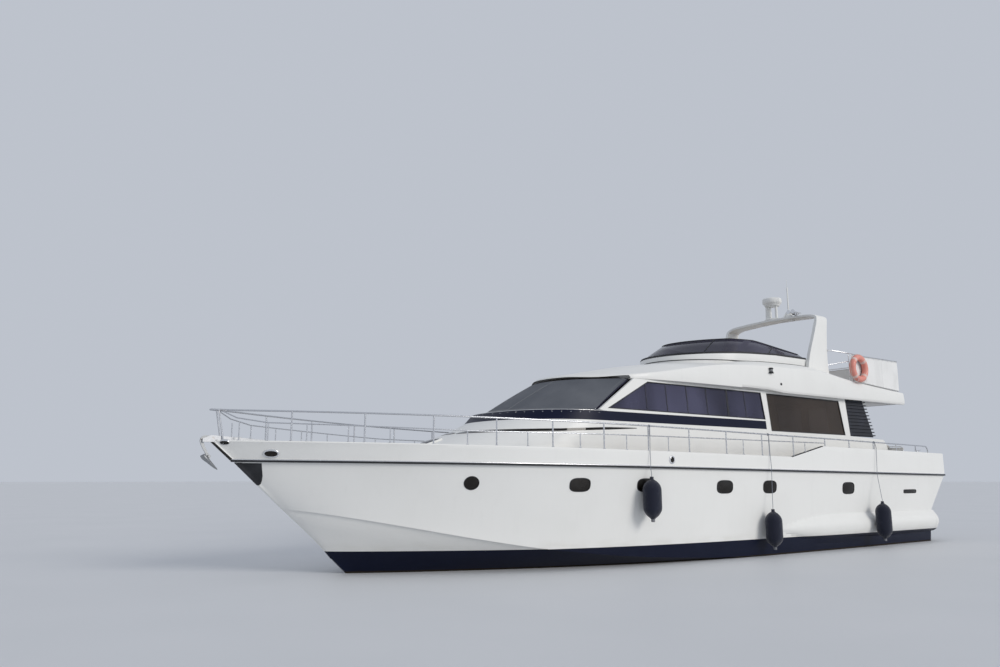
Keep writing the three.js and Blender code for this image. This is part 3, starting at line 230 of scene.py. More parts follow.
# Columns: x on the deck joint, then on the chine and the keel; keel height; chine breadth and height; flare.
hull_lines = faired([
    (-9.4, -9.4, -9.4, -0.62, 2.3, -0.12, 1),
    (-6, -6, -6, -0.8, 2.38, -0.09, 1),
    (-2.5, -2.5, -2.5, -0.92, 2.42, -0.02, 1),
    (0.5, 0.5, 0.5, -0.98, 2.39, 0.08, 1),
    (2.5, 2.5, 2.5, -1, 2.25, 0.21, 1.1),
    (4.3, 4.3, 4.3, -0.98, 1.96, 0.41, 1.2),
    (5.9, 5.7, 5.5, -0.9, 1.59, 0.64, 1.35),
    (7.2, 6.85, 6.4, -0.69, 1.18, 0.86, 1.45),
    (8.3, 7.75, 7.05, -0.38, 0.78, 1.03, 1.5),
    (9.15, 8.4, 7.42, -0.13, 0.42, 1.14, 1.5),
    (9.6, 8.75, 7.64, 0.04, 0.17, 1.19, 1.4),
    (9.83, 8.9, 7.9, 0.28, 0.03, 1.215, 1),
])
# Columns: x, half height of the swelling, how far it stands out
swelling = faired([
    (-9.4, 0.29, 0.165), (-6.5, 0.3, 0.165), (-4.6, 0.31, 0.16), (-4.0, 0.295, 0.15), (-3.4, 0.245, 0.12),
    (-3.0, 0.185, 0.085), (-2.7, 0.12, 0.05), (-2.5, 0.06, 0.022), (-2.36, 0.015, 0.003),
])
SWELLING_FRONT = -2.36
SWELLING_TIP = 0.22  # how far its round end reaches aft of the transom
SWELLING_HEIGHT = 0.575


def swelling_size(x):
    """Half height and depth of the swelling. Aft of the transom both shrink fast to a blunt end."""
    past = min(max(TRANSOM - x, 0) / SWELLING_TIP, 1)
    return swelling(max(x, TRANSOM)) * sqrt(1 - past**5)


def swell(x, z):
    """How far the swelling stands out of the side. It is rounder below than above."""
    if x >= SWELLING_FRONT:
        return 0
    high, out = swelling_size(x)
    s = (z - SWELLING_HEIGHT) / high
    return out * max(1 - s * s, 0) ** (1.25 if s > 0 else 0.6)


def side_point(joint_x, t):
    """A point on the side, from the chine at t = 0 to the deck joint at t = 1."""
    chine_x, _, _, chine_y, chine_z, flare = hull_lines(joint_x)
    joint_y = max(half_breadth(joint_x, "joint") - 0.02, 0.03)
    y = chine_y + (joint_y - chine_y) * t**flare
    z = chine_z + (joint_height(joint_x) - chine_z) * t
    return chine_x + (joint_x - chine_x) * t, y + swell(joint_x, z), z


def hull_ring(joint_x):
    chine_x, keel_x, keel_z, chine_y, chine_z, _ = hull_lines(joint_x)
    keel_y = min(0.035, chine_y / 2)
    half = []
    for t in np.linspace(0, 1, 9):
        y = keel_y + (chine_y - keel_y) * t
        half.append((keel_x + (chine_x - keel_x) * t, y, keel_z + (chine_z - keel_z) * t**0.92))
    x, y, z = half.pop()
    half.append((x, y - min(0.045, chine_y / 4), z))
    heights = [*np.linspace(0, 0.18, 4), *np.linspace(0.2, 0.5, 27), *np.linspace(0.54, 1, 12)]
    return half + [side_point(joint_x, t) for t in heights]


def both_sides(half):
    """The port half of a line with its mirror image. A point on the centre line comes once."""
    return [*half, *((x, -y, z) for x, y, z in reversed(half) if y > 0)]


def turns(count):
    """The angles of so many even steps round a circle."""
    return [2 * pi * k / count for k in range(count)]


def squared(power, count):
    """Points round a square of half width 1 with round corners. A higher power makes them sharper."""
    for a in turns(count):
        reach = (abs(cos(a)) ** power + abs(sin(a)) ** power) ** (-1 / power)
        yield cos(a) * reach, sin(a) * reach


class Form:
    """Points and faces of one piece, gathered from its parts before they become its mesh."""

    def __init__(self):
        self.points = []
        self.faces = []
        self.coats = []  # which of the piece's finishes each face has

    def patch(self, points, faces, coat=0):
        start = len(self.points)
        self.points += [tuple(point) for point in points]
        self.faces += [[start + corner for corner in face] for face in faces]
        self.coats += [coat] * len(faces)
        return self

    def skin(self, rings, coat=0, ends=True, closed=True):
        """Quads between neighbouring rings of points, with one face over each end."""
        count = len(rings[0])
        faces = []
        for i in range(len(rings) - 1):
            for j in range(count if closed else count - 1):
                k = (j + 1) % count
                faces.append([i * count + j, i * count + k, (i + 1) * count + k, (i + 1) * count + j])
        if ends:
            last = (len(rings) - 1) * count
            faces += [list(range(count))[::-1], [last + j for j in range(count)]]
        return self.patch([point for ring in rings for point in ring], faces, coat)

    def sheet(self, rows, coat=0):
        """Quads between neighbouring rows of points, with all its edges left open."""
        return self.skin(rows, coat, ends=False, closed=False)

    def cloth(self, top, under):
        """Two sheets, one for each side of a cloth, joined round their edge."""
        self.sheet(top).sheet(under)
        for edge in (0, -1):
            self.sheet([top[edge], under[edge]])
            self.sheet([[row[edge] for row in layer] for layer in (top, under)])
        return self

    def tube(self, route, radius, sides=10, coat=0, loop=False):
        """A round bar along a route, which may come back to its start."""
        route = [Vector(point) for point in route]
        if loop:
            route = [*route, route[0], route[1]]
        legs = [(b - a).normalized() for a, b in zip(route, route[1:])]
        ways = [legs[0], *((a + b).normalized() for a, b in zip(legs, legs[1:])), legs[-1]]
        across = ways[0].orthogonal().normalized()
        rings = []
        for point, way in zip(route, ways):
            across = (across - way * across.dot(way)).normalized()
            other = way.cross(across)
            rings.append([point + (across * cos(a) + other * sin(a)) * radius for a in turns(sides)])
        return self.skin(rings[1:] if loop else rings, coat)

    def turned(self, profile, base, axis=(0, 0, 1), sides=32, coat=0):
        """A turned shape: (radius, height) points drawn round an axis through the base."""
        up = Vector(axis).normalized()
        across = up.orthogonal().normalized()
        other = up.cross(across)
        rings = []
        for radius, height in profile:
            middle, radius = Vector(base) + up * height, max(radius, 0.0005)
            rings.append([middle + (across * cos(a) + other * sin(a)) * radius for a in turns(sides)])
        return self.skin(rings, coat)

    def block(self, low, high, coat=0):
        """A box between two corners."""
        (x0, y0, z0), (x1, y1, z1) = low, high
        rings = [[(x0, y0, z), (x1, y0, z), (x1, y1, z), (x0, y1, z)] for z in (z0, z1)]
        return self.skin(rings, coat)

    def plate(self, outline, low, high, across=1, coat=0):
        """A flat outline, given by its other two coordinates, drawn out along one axis."""
        rings = [[(*point[:across], depth, *point[across:]) for point in outline] for depth in (low, high)]
        return self.skin(rings, coat)

    def mesh(self, name):
        mesh = bpy.data.meshes.new(name)
        mesh.from_pydata(self.points, [], self.faces)
        mesh.polygons.foreach_set("material_index", self.coats)
        work = bmesh.new()
        work.from_mesh(mesh)
        bmesh.ops.remove_doubles(work, verts=work.verts, dist=1e-6)
        bmesh.ops.recalc_face_normals(work, faces=work.faces)
        work.to_mesh(mesh)
        work.free()
        return mesh

    def piece(self, name, finishes, body="boat", edge=0, sharp=35, replaces="", slot=""):
        """The piece's object, which rides on a body. Edges over an angle are sharp, or rounded by a width."""
        piece = placed(name, self.mesh(name))
        finishes = finishes if isinstance(finishes, list) else [finishes]
        for finish in finishes:
            piece.data.materials.append(finish.material)
        crease(piece.data, sharp)
        if edge:
            round_edges(piece, edge, sharp)
        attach(piece, body)
        slot or finishes[0].slot
        if replaces:
            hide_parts(replaces)
        return piece


def crease(mesh, angle):
    """Shades a mesh smooth, apart from the edges over an angle in degrees."""
    work = bmesh.new()
    work.from_mesh(mesh)
    for face in work.faces:
        face.smooth = True
    for edge in work.edges:
        edge.smooth = edge.calc_face_angle(0) < radians(angle)
    work.to_mesh(mesh)
    work.free()


def round_edges(piece, width, angle=35):
    """Rounds the edges that are sharper than an angle in degrees."""
    bevel = piece.modifiers.new("rounded edges", "BEVEL")
    bevel.width = width
    bevel.segments = 2
    bevel.limit_method = "ANGLE"
    bevel.angle_limit = radians(angle)
    bevel.harden_normals = True


def settle(piece):
    """Applies the piece's modifiers."""
    bpy.context.view_layer.update()
    final = piece.evaluated_get(bpy.context.evaluated_depsgraph_get())
    mesh = bpy.data.meshes.new_from_object(final)
    piece.modifiers.clear()
    piece.data = mesh


def carve(piece, tool, sharp):
    """Cuts a form out of a piece."""
    cutter = placed("tool", tool.mesh("tool"))
    boolean = piece.modifiers.new("tool", "BOOLEAN")
    boolean.operation = "DIFFERENCE"
    boolean.solver = "MANIFOLD"
    boolean.object = cutter
    settle(piece)
    bpy.data.objects.remove(cutter)
    crease(piece.data, sharp)


def gelcoat(name, light=(0.8, 0.8, 0.78), dull=(0.69, 0.69, 0.665)):
    """Polished gelcoat: faint clouds of chalking, weather streaks and a slightly unfair surface."""
    finish = Finish(name, Coat_Weight=0.12, Coat_Roughness=0.15, Specular_IOR_Level=0.15)
    clouds = finish.noise(0.9, 4)
    streaks = finish.noise(1.0, 4, (9, 9, 0.5)).ramp(0.52, 0.8)
    finish.colour = finish.mix(clouds.ramp(0.35, 0.85) * 0.25 + streaks * 0.12, light, dull)
    finish.gloss = 0.28 + clouds * 0.1 + streaks * 0.06
    finish.set(Base_Color=finish.colour, Roughness=finish.gloss)
    return finish.bump(finish.noise(1.3, 2) + finish.noise(340, 1) * 0.03, 0.0012)


def painted_hull():
    finish = gelcoat("hull_gelcoat")
    boot_top = 0.393 + finish.x * 0.0035
    above = (finish.z - boot_top).ramp(-0.002, 0.002)
    bottom = 1 - (finish.z + finish.noise(6, 3) * 0.02).ramp(0.04, 0.055)
    scum = 1 - (finish.z - boot_top).ramp(0, 0.22)
    stain = scum * finish.noise(2.2, 5, (1, 1, 3)).ramp(0.3, 0.75) * 0.25
    white = finish.mix(stain, finish.colour, (0.55, 0.53, 0.46))
    navy = finish.mix(finish.noise(3, 4), (0.003, 0.005, 0.018), (0.006, 0.009, 0.026))
    brown = finish.mix(finish.noise(5, 5), (0.014, 0.01, 0.009), (0.034, 0.027, 0.019))
    finish.paint(bottom, finish.mix(above, navy, white), brown)
    return finish.set(Roughness=finish.gloss + bottom * 0.5, Coat_Weight=above * 0.12)


def hull_form():
    stations = [*np.linspace(TRANSOM, 6, 79), *np.linspace(6.15, 9.55, 30), 9.62, 9.69, 9.75, 9.79, 9.83]
    rings = [both_sides(hull_ring(x)) for x in stations]
    half = len(rings[0]) // 2
    form = Form().skin(rings, ends=False)
    form.patch(rings[0], [list(range(2 * half))])
    port, starboard = rings[-1][:half], rings[-1][:half - 1:-1]
    stem = [((a[0] + b[0]) / 2 + 0.018, 0, a[2]) for a, b in zip(port, starboard)]
    form.sheet([port, stem, starboard])
    for k in (0, half - 1):
        form.patch([port[k], stem[k], starboard[k]], [[0, 1, 2]])
    return form


STAIR = {"inner": 1.5, "outer": 2.33, "tread": 0.24, "count": 4, "top": TRANSOM + 0.96}
PLATFORM_TOP = 0.62
RISER = (deck_height(STAIR["top"]) - PLATFORM_TOP) / (STAIR["count"] + 1)


def stairwell(side):
    """What a flight of stairs on the quarter leaves open, from the bathing platform to the deck."""
    outline = [(TRANSOM - 0.2, 2.9), (STAIR["top"], 2.9)]
    for k in range(STAIR["count"]):
        height = PLATFORM_TOP + RISER * (STAIR["count"] - k)
        front = STAIR["top"] - k * STAIR["tread"]
        outline += [(front, height), (front - STAIR["tread"], height)]
    outline[-1] = (TRANSOM - 0.2, outline[-1][1])
    return Form().plate(outline, *sorted((side * STAIR["inner"], side * STAIR["outer"])))


ENGINE_ROOM = ((-7.85, -1.75, -0.18), (-4.3, 1.75, 2.6))
FOREPEAK = ((7.38, -0.28, 1.62), (7.94, 0.28, 2.6))
white_hull = painted_hull()
hull = hull_form().piece("hull_moulding", white_hull, replaces="hull")
for tool in (Form().block(*ENGINE_ROOM), Form().block(*FOREPEAK), stairwell(1), stairwell(-1)):
    carve(hull, tool, sharp=11)


def quarter_wings():
    """The side runs on aft of the transom on each quarter, to a slanted edge."""
    form = Form()
    foot = 0.49
    for side in (-1, 1):
        rings = []
        for t in np.linspace(foot, 1, 12):
            x, y, z = side_point(TRANSOM, t)
            end = TRANSOM - 0.004 + (t - foot) / (1 - foot) * (QUARTER_END + 0.02 - TRANSOM)
            inner, outer = side * (y - 0.1), side * y
            rings.append([(TRANSOM, outer, z), (end, outer, z), (end, inner, z), (TRANSOM, inner, z)])
        form.skin(rings)
    return form


def swelling_tips():
    """The swelling carries on beside the bathing platform and ends round."""
    form = Form()
    for side in (-1, 1):
        rings = []
        for turn in np.linspace(0, 1.56, 20):
            x = TRANSOM - SWELLING_TIP * sin(turn)
            heights = [SWELLING_HEIGHT + swelling_size(x)[0] * s for s in np.linspace(-1, 1, 23)]
            shrink = sqrt(1 - sin(turn) ** 5)
            outer = [(x, side * (2.306 + shrink * 0.086 * (z + 0.12) + swell(x, z)), z) for z in heights]
            rings.append([*outer, (x, side * 2.305, heights[-1]), (x, side * 2.305, heights[0])])
        form.skin(rings)
    return form


quarter_wings().piece("quarter_wings", white_hull, edge=0.012)
swelling_tips().piece("swelling_tips", white_hull, sharp=50)


# Deck and bulwarks: one glass fibre moulding that closes the hull. Its side carries on the flare up to a
# rounded cap. The side decks and the cockpit are laid with teak, and the foredeck has a gritty tread.
DECK_WIDTH = {"bulwark": 0.09, "house": 1.9}
BULKHEAD = -6.45
HOUSE_FRONT = 2.6
CAP_STEP = (-2.7, -4.0)  # the bulwark's cap rises aft between these two places


def cap_height(x):
    low, high = 2.3 + 0.0118 * x, 2.55 + 0.012 * (x + 4)
    rise = min(max((CAP_STEP[0] - x) / (CAP_STEP[0] - CAP_STEP[1]), 0), 1)
    return low + (high - low) * rise


def cap_x(joint_x):
    return joint_x + 0.4 * (max(joint_x, 0) / TIP["joint"]) ** 4


def bulwark_point(joint_x, t):
    """A point on the bulwark's outer face, from the joint at t = 0 to the cap at t = 1."""
    top_x = cap_x(joint_x)
    joint_y = max(half_breadth(joint_x, "joint"), 0.032)
    top_y = max(half_breadth(top_x, "cap"), 0.036)
    foot = joint_height(joint_x) + 0.0003
    rise = cap_height(top_x) - foot
    return joint_x + (top_x - joint_x) * t, joint_y + (top_y - joint_y) * t, foot + rise * t


def deck_ring(joint_x):
    top_x, top_y, top_z = bulwark_point(joint_x, 1)
    foot = bulwark_point(joint_x, 0)
    at_tip = joint_x > 9.8
    wall = DECK_WIDTH["bulwark"]
    inner_top, inner_low = max(top_y - wall, 0.01), max(foot[1] - wall, 0.01)
    sole = top_z - 0.004 if at_tip else foot[2] + 0.08
    r = min(0.022, (top_y - inner_top) / 3)
    quarter = [pi / 2 * k / 4 for k in range(5)]
    half = [(joint_x, 0, foot[2]), foot, *(bulwark_point(joint_x, t) for t in (0.25, 0.5, 0.75))]
    half += [(top_x, top_y - r * (1 - cos(a)), top_z - r * (1 - sin(a))) for a in quarter]
    half += [(top_x, inner_top + r * (1 - sin(a)), top_z - r * (1 - cos(a))) for a in quarter]
    cove = 0.03 if inner_low > 0.2 else 0.002
    rise = 0 if at_tip else cove
    half += [(joint_x, inner_low - cove * (1 - cos(a)), sole + rise * (1 - sin(a))) for a in quarter]
    house = min(DECK_WIDTH["house"], inner_low * 0.7)
    return half + [(joint_x, house, sole), (joint_x, house * 0.5, sole), (joint_x, 0, sole)]


def teak(name, across="y", pitch=0.055):
    """Planks with black caulking between them. Each plank has its own shade."""
    finish = Finish(name, "teak", Specular_IOR_Level=0.3)
    row = getattr(finish, across) / pitch
    caulk = abs(row % 1 - 0.5).ramp(0.44, 0.455)
    shade = finish.node("TexWhiteNoise", {"noise_dimensions": "1D"}, {"W": row - row % 1})
    grain = finish.noise(14, 5, (0.6, 9, 9) if across == "y" else (9, 0.6, 9))
    wood = finish.mix(grain * 0.65 + shade * 0.35, (0.36, 0.235, 0.135), (0.5, 0.36, 0.225))
    silver = finish.mix(finish.noise(1.1, 4).ramp(0.35, 0.75) * 0.7, wood, (0.42, 0.385, 0.33))
    finish.paint(caulk, silver, (0.012, 0.012, 0.012))
    finish.set(Roughness=0.62 + grain * 0.2 - caulk * 0.25)
    return finish.bump(grain * 0.3 - caulk, 0.0012)


def gritty(name, pitch=0.016):
    """Moulded non-slip tread: small raised lozenges in a greyer gelcoat."""
    finish = Finish(name)
    steps = finish.noise(2.0, 4)
    lozenge = abs((finish.x + finish.y) / pitch % 1 - 0.5) + abs((finish.x - finish.y) / pitch % 1 - 0.5)
    finish.paint(steps.ramp(0.3, 0.8), (0.68, 0.68, 0.655), (0.56, 0.56, 0.535))
    return finish.set(Roughness=0.5 + steps * 0.2).bump(lozenge, 0.0015)


def carpet(name):
    finish = Finish(name, Roughness=0.95)
    pile = finish.noise(160, 2)
    tread = finish.noise(1.2, 3)
    finish.paint(pile * 0.5 + tread * 0.5, (0.16, 0.1, 0.06), (0.3, 0.2, 0.12))
    return finish.bump(pile, 0.004)


def deck_form():
    marks = [TRANSOM, BULKHEAD, HOUSE_FRONT, 4.4, 6.4, 7.4, 8.2, *CAP_STEP]
    even = [*np.linspace(-9.2, 6, 70), *np.linspace(6.2, 9.5, 34)]
    stations = [*sorted({*marks, *np.round(even, 3)}), 9.6, 9.68, 9.75, 9.8, 9.83]
    return Form().skin([both_sides(deck_ring(x)) for x in stations])


def dark_rubber(name, shade=(0.012, 0.013, 0.016)):
    finish = Finish(name, "black_rubber", Specular_IOR_Level=0.4)
    dust = finish.noise(3, 4)
    finish.paint(dust.ramp(0.4, 0.9), shade, tuple(c * 2.2 + 0.01 for c in shade))
    return finish.set(Roughness=0.42 + dust * 0.3).bump(finish.noise(220, 2), 0.0006)


black_rubber = dark_rubber("black_rubber")
deck_gelcoat = gelcoat("deck_gelcoat")
teak_deck = teak("teak_deck")
deck_coats = {
    "gelcoat": deck_gelcoat, "teak": teak_deck, "gritty": gritty("gritty_tread"),
    "carpet": carpet("saloon_carpet"), "dark": black_rubber,
}


def lay_deck(mesh):
    """Gives each face of the sole its covering, by where it lies."""
    coat = list(deck_coats).index
    for face in mesh.polygons:
        x, y, z = face.center
        if face.normal.z > 0.9 and abs(z - deck_height(x)) < 0.01:
            under_house = BULKHEAD < x < HOUSE_FRONT and abs(y) < DECK_WIDTH["house"] + 0.02
            covering = "gritty" if x > HOUSE_FRONT + 1.6 else "teak"
            face.material_index = coat("carpet" if under_house else covering)
        if CAP_STEP[1] < x < CAP_STEP[0] and face.normal.z > 0.5 and z > cap_height(x) - 0.04:
            face.material_index = coat("dark")


deck = deck_form().piece("deck_moulding", list(deck_coats.values()), replaces="deck")
lay_deck(deck.data)
ENGINE_HATCH = ((-7.8, -0.45, 1.5), (-7.0, 0.45, 2.6))
for tool in (Form().block(*ENGINE_HATCH), Form().block(*FOREPEAK), stairwell(1), stairwell(-1)):
    carve(deck, tool, sharp=28)


WING = {"inner": 2.395, "outer": 2.49}  # half breadths of the bulwark aft of the transom


def deck_wings():
    """The bulwark runs on over the quarter wings."""
    form = Form()
    for side in (-1, 1):
        rings = []
        for x in (TRANSOM, -9.6, -9.8, -10.0, QUARTER_END):
            low, high = joint_height(x) + 0.0003, cap_height(x)
            y0, y1 = side * WING["inner"], side * WING["outer"]
            rings.append([(x, y0, low), (x, y1, low), (x, y1, high), (x, y0, high)])
        form.skin(rings)
    return form


deck_wings().piece("bulwark_wings", deck_gelcoat, edge=0.02)


def steel(name, tint=(0.78, 0.785, 0.8), rough=0.18):
    """Polished stainless steel with faint hand marks and tea stain."""
    finish = Finish(name, "polished_steel", Metallic=1)
    stain = finish.noise(7, 4).ramp(0.62, 0.85)
    finish.paint(stain * 0.5, tint, (0.4, 0.3, 0.21))
    return finish.set(Roughness=rough + finish.noise(28, 4) * 0.14).bump(finish.noise(420, 1), 0.0002)


# Gate posts: a steel tube stands inboard of each flight of stairs, for the gate to close on. Its flange is
# bolted to the deck.
polished_steel = steel("polished_steel")
posts = Form()
for side in (-1, 1):
    place = (STAIR["top"] + 0.06, side * (STAIR["inner"] - 0.03), deck_height(STAIR["top"]))
    posts.turned([(0.05, 0), (0.05, 0.006), (0.024, 0.012), (0.022, 0.66), (0.018, 0.675), (0, 0.68)], place)
posts.piece("gate_posts", polished_steel, sharp=50)


# Portholes and hawses: each porthole is a dark toughened pane and each hawse a steel lip, in a flanged frame
# that is screwed to the moulding from outside. A dark disc closes each hawse, painted shade for its hole. The
# foremost light is round and the others are long with round ends.
def struck(piece, x, z, side):
    """Where a line across the boat meets a piece's side, and which way the surface looks there."""
    return piece.ray_cast((x, side * 5, z), (0, -side, 0))[1:3]


def oval(place, way, half_long, half_high, power, cut, lift):
    """A rounded outline on a surface, brought in by a cut and lifted off it."""
    along = Vector((0, 0, 1)).cross(way).normalized()
    up = way.cross(along)
    along, up = along * (half_long - cut), up * (half_high - cut)
    return [place + along * c + up * s + way * lift for c, s in squared(power, 44)]


def framed_light(form, place, way, half_long, half_high, power, rim=0.016, lift=0.012):
    """A frame round a pane: coat 0 is the frame and coat 1 the pane."""
    steps = [(0, -0.03), (0, 0.003), (0.004, lift * 0.7), (rim * 0.45, lift), (rim, lift * 0.8), (rim, -0.01)]
    form.skin([oval(place, way, half_long, half_high, power, *step) for step in steps])
    pane = [(rim - 0.002, -0.02), (rim - 0.002, 0.002), (rim + 0.01, 0.0045)]
    form.skin([oval(place, way, half_long, half_high, power, *step) for step in pane], coat=1)


def dark_glass(name, shade, alpha=1.0, rough=0.03):
    """Tinted glass with a little dust and dried spray on it."""
    finish = Finish(name, "tinted_glass", Alpha=alpha, Specular_IOR_Level=0.32)
    dust = finish.noise(1.6, 5).ramp(0.45, 0.95)
    finish.paint(dust * 0.35, shade, (0.16, 0.17, 0.18), Roughness=rough + dust * 0.12)
    return finish.bump(finish.noise(0.8, 1), 0.003)


# Columns: x, z, half length, half height, roundness
PORTHOLES = [
    (5.95, 1.67, 0.15, 0.135, 2),
    (3.77, 1.63, 0.24, 0.14, 3),
    (2.14, 1.62, 0.25, 0.14, 3),
    (-0.25, 1.57, 0.27, 0.148, 3.2),
    (-1.84, 1.56, 0.25, 0.15, 3.2),
    (-5.07, 1.51, 0.27, 0.152, 3.6),
]
VENT = (-8.18, 1.4, 0.35, 0.055, 8)
bpy.context.view_layer.update()
lights = Form()
for side in (-1, 1):
    for x, z, half_long, half_high, power in [*PORTHOLES, VENT]:
        framed_light(lights, *struck(hull, x, z, side), half_long, half_high, power)
port_glass = dark_glass("port_glass", (0.009, 0.007, 0.005))
lights.piece("portholes", [black_rubber, port_glass])
hawses = Form()
# Painted shade: the dark pane closing each hawse stands for the shade inside its hole.
for side in (-1, 1):
    for x, z, half_long, half_high in [(9.3, 2.19, 0.145, 0.085), (1.47, 2.14, 0.085, 0.09)]:
        framed_light(hawses, *struck(deck, x, z, side), half_long, half_high, 2.2, rim=0.03, lift=0.02)
    framed_light(hawses, *struck(deck, 10.03, 2.375, side), 0.09, 0.05, 2.4, rim=0.01, lift=0.01)
stem_bar = [Vector(bulwark_point(TIP["joint"], t)) * Vector((1, 0, 1)) for t in np.linspace(0.06, 0.97, 9)]
hawses.tube([point + Vector((0.006, 0, 0)) for point in stem_bar], 0.034, 16, coat=1)
hawses.piece("hawses_and_stem_bar", [polished_steel, port_glass], sharp=50)


def stem_black_sheet():
    """A thin black rubber sheet wraps the stem under the rail. Its aft edge is curved."""
    joints = np.linspace(9.0, TIP["joint"], 60)
    rows = []
    for t in np.linspace(0.49, 0.95, 16):
        edge = np.interp(t, [0.49, 0.53, 0.6, 0.7, 0.95], [9.35, 9.33, 9.33, 9.34, 9.4])
        aft = np.interp(edge, [side_point(x, t)[0] for x in joints], joints)
        row = [side_point(x, t) for x in np.linspace(TIP["joint"], aft, 9)]
        rows.append([(x, y + 0.006, z) for x, y, z in row])
    form = Form()
    for side in (-1, 1):
        form.sheet([[(x, side * y, z) for x, y, z in row] for row in rows])
    bow = np.linspace(-pi / 2, pi / 2, 7)
    fronts = [row[0] for row in rows]
    return form.sheet([[(x + 0.024 * cos(a), y * sin(a), z) for a in bow] for x, y, z in fronts])


stem_black_sheet().piece("stem_black_sheet", black_rubber)


# Rub rail: a bright half round of steel over a thin strip of black rubber, screwed over the joint of hull
# and deck. It runs from one quarter round the stem to the other.
def neighbours(line):
    """Each point of a line between the one before it and the one after it. An end is its own neighbour."""
    return zip([line[0], *line], line, [*line[1:], line[-1]])


def rub_route():
    """Points along the joint with the way outwards at each, from the port quarter round the stem."""
    stations = [QUARTER_END + 0.04, -9.9, -9.6, -9.41, *np.linspace(-9.3, 8, 90), *np.linspace(8.1, 9.7, 26)]
    route = [(x, (WING["outer"] if x < TRANSOM else half_breadth(x, "joint")) + 0.001) for x in stations]
    route += [(9.77, 0.054), (9.815, 0.036), (9.838, 0.018), (9.842, 0)]
    route += [(x, -y) for x, y in reversed(route[:-1])]
    for before, point, after in neighbours([Vector((x, y, 0)) for x, y in route]):
        along = (after - before).normalized()
        yield point + Vector((0, 0, joint_height(point.x))), Vector((-along.y, along.x, 0))


def rub_strip(section):
    rings = []
    for point, way in rub_route():
        rings.append([point + way * out + Vector((0, 0, up)) for out, up in section])
    return Form().skin(rings)


rubber = [(0, -0.026), (0.024, -0.026), (0.03, -0.02), (0.03, 0.004), (0.026, 0.008), (0, 0.008)]
rub_strip(rubber).piece("rub_rail_rubber", black_rubber, replaces="rub_rail")
bright = [(0, 0.006), (0.03, 0.008), (0.036, 0.013), (0.037, 0.019), (0.034, 0.025), (0.028, 0.029),
          (0, 0.03)]
rub_strip(bright).piece("rub_rail_steel", polished_steel, sharp=50)


# Bathing platform: a glass fibre slab bolted to the transom, with a teak panel let into its top. The same
# teak lies on each tread of the stairs. The exhausts leave through steel flanges under the platform's ends.
def platform_outline(inset):
    """Half the platform's outline, from its front on the port side to the centre line."""
    half, corner, aft = 2.28 - inset, -9.88, -10.45 + inset
    bend = [(t * t, 2 * t * (1 - t), (1 - t) ** 2) for t in np.linspace(0, 1, 16)]
    curve = [(a * aft + b * (-10.39 + inset) + c * corner, a * 1.56 + (b + c) * half) for a, b, c in bend]
    return [(TRANSOM - 0.0003 - inset, half), *curve, (aft, 0.8), (aft, 0)]


def slab(cut, low, high):
    half = platform_outline(cut)
    return Form().plate(half + [(x, -y) for x, y in reversed(half) if y > 0], low, high, across=2)


platform_gelcoat = gelcoat("platform_gelcoat")
slab(0, 0.47, PLATFORM_TOP).piece("platform_slab", platform_gelcoat, edge=0.025, replaces="bathing_platform")
stair_teak = slab(0.1, PLATFORM_TOP - 0.01, PLATFORM_TOP + 0.006)
exhausts = Form()
for side in (-1, 1):
    low, high = sorted((side * (STAIR["inner"] + 0.07), side * (STAIR["outer"] - 0.07)))
    for k in range(STAIR["count"]):
        tread = PLATFORM_TOP + RISER * (STAIR["count"] - k)
        front = STAIR["top"] - k * STAIR["tread"]
        aft = front - STAIR["tread"]
        stair_teak.block((aft + 0.02, low, tread - 0.01), (front - 0.03, high, tread + 0.006))
    exhausts.turned([(0.06, -0.02), (0.12, -0.02), (0.12, 0.006), (0.11, 0.012), (0.085, 0.016), (0.08, 0.05),
                     (0.07, 0.05), (0.07, -0.02)], (TRANSOM, side * 1.15, 0.24), (-1, 0, 0))
stair_teak.piece("stair_and_platform_teak", teak_deck, edge=0.003)
exhausts.piece("exhaust_flanges", polished_steel, sharp=50)


# Coachroof: a glass fibre trunk that rises from the foredeck in two tiers. A narrow black window lies along
# the ledge between them, and a navy band is painted round the top tier under the windscreen.
TRUNK_LEVELS = np.array([  # columns: height, x of the nose
    (1.98, 6.93), (2.15, 6.8), (2.44, 5.95), (2.635, 5.365), (2.655, 5.32), (2.685, 5.19), (2.7, 5.15),
    (2.96, 4.56), (3.15, 4.352), (3.17, 4.32),
])
LAP = 0.015  # the trunk laps over the front edge of the house sides


def side_wall(z):
    return 1.96 - 0.09 * (z - 2.0453)


def trunk_point(a, z, out=0.0, lift=0.0):
    """A point on the trunk. The angle a runs from 0 at the nose to a quarter turn at the house front."""
    nose = np.interp(z, TRUNK_LEVELS[:, 0], TRUNK_LEVELS[:, 1])
    x = HOUSE_FRONT + (nose - HOUSE_FRONT + out) * max(cos(a), 0) ** 0.85
    return x, (side_wall(z) + out) * sin(a) ** 0.9, z + lift


def banded_gelcoat():
    """White gelcoat with the navy band round the house, which ends at the forward window's aft edge."""
    finish = gelcoat("banded_gelcoat")
    band = finish.z.within(2.962, 3.166, 0.0015) * (finish.x + 2.79).ramp(0, 0.003)
    navy = finish.mix(finish.noise(2.5, 4), (0.003, 0.005, 0.02), (0.005, 0.008, 0.028))
    finish.paint(band, finish.colour, navy)
    return finish.set(Roughness=finish.gloss + band * 0.1, Coat_Weight=0.12 - band * 0.12)


house_gelcoat = banded_gelcoat()
quarter_turn = [pi / 2 * k / 40 for k in range(41)]
trunk_rings = []
for z in sorted({*TRUNK_LEVELS[:, 0], *np.linspace(2.2, 2.6, 6), 2.78, 2.87, 3.05}):
    curve = [trunk_point(a, z, 0.0015) for a in reversed(quarter_turn)]
    trunk_rings.append(both_sides([(HOUSE_FRONT - LAP, side_wall(z) + 0.0015, z), *curve]))
trunk = Form().skin(trunk_rings).piece("trunk", house_gelcoat, sharp=40, replaces="coachroof")


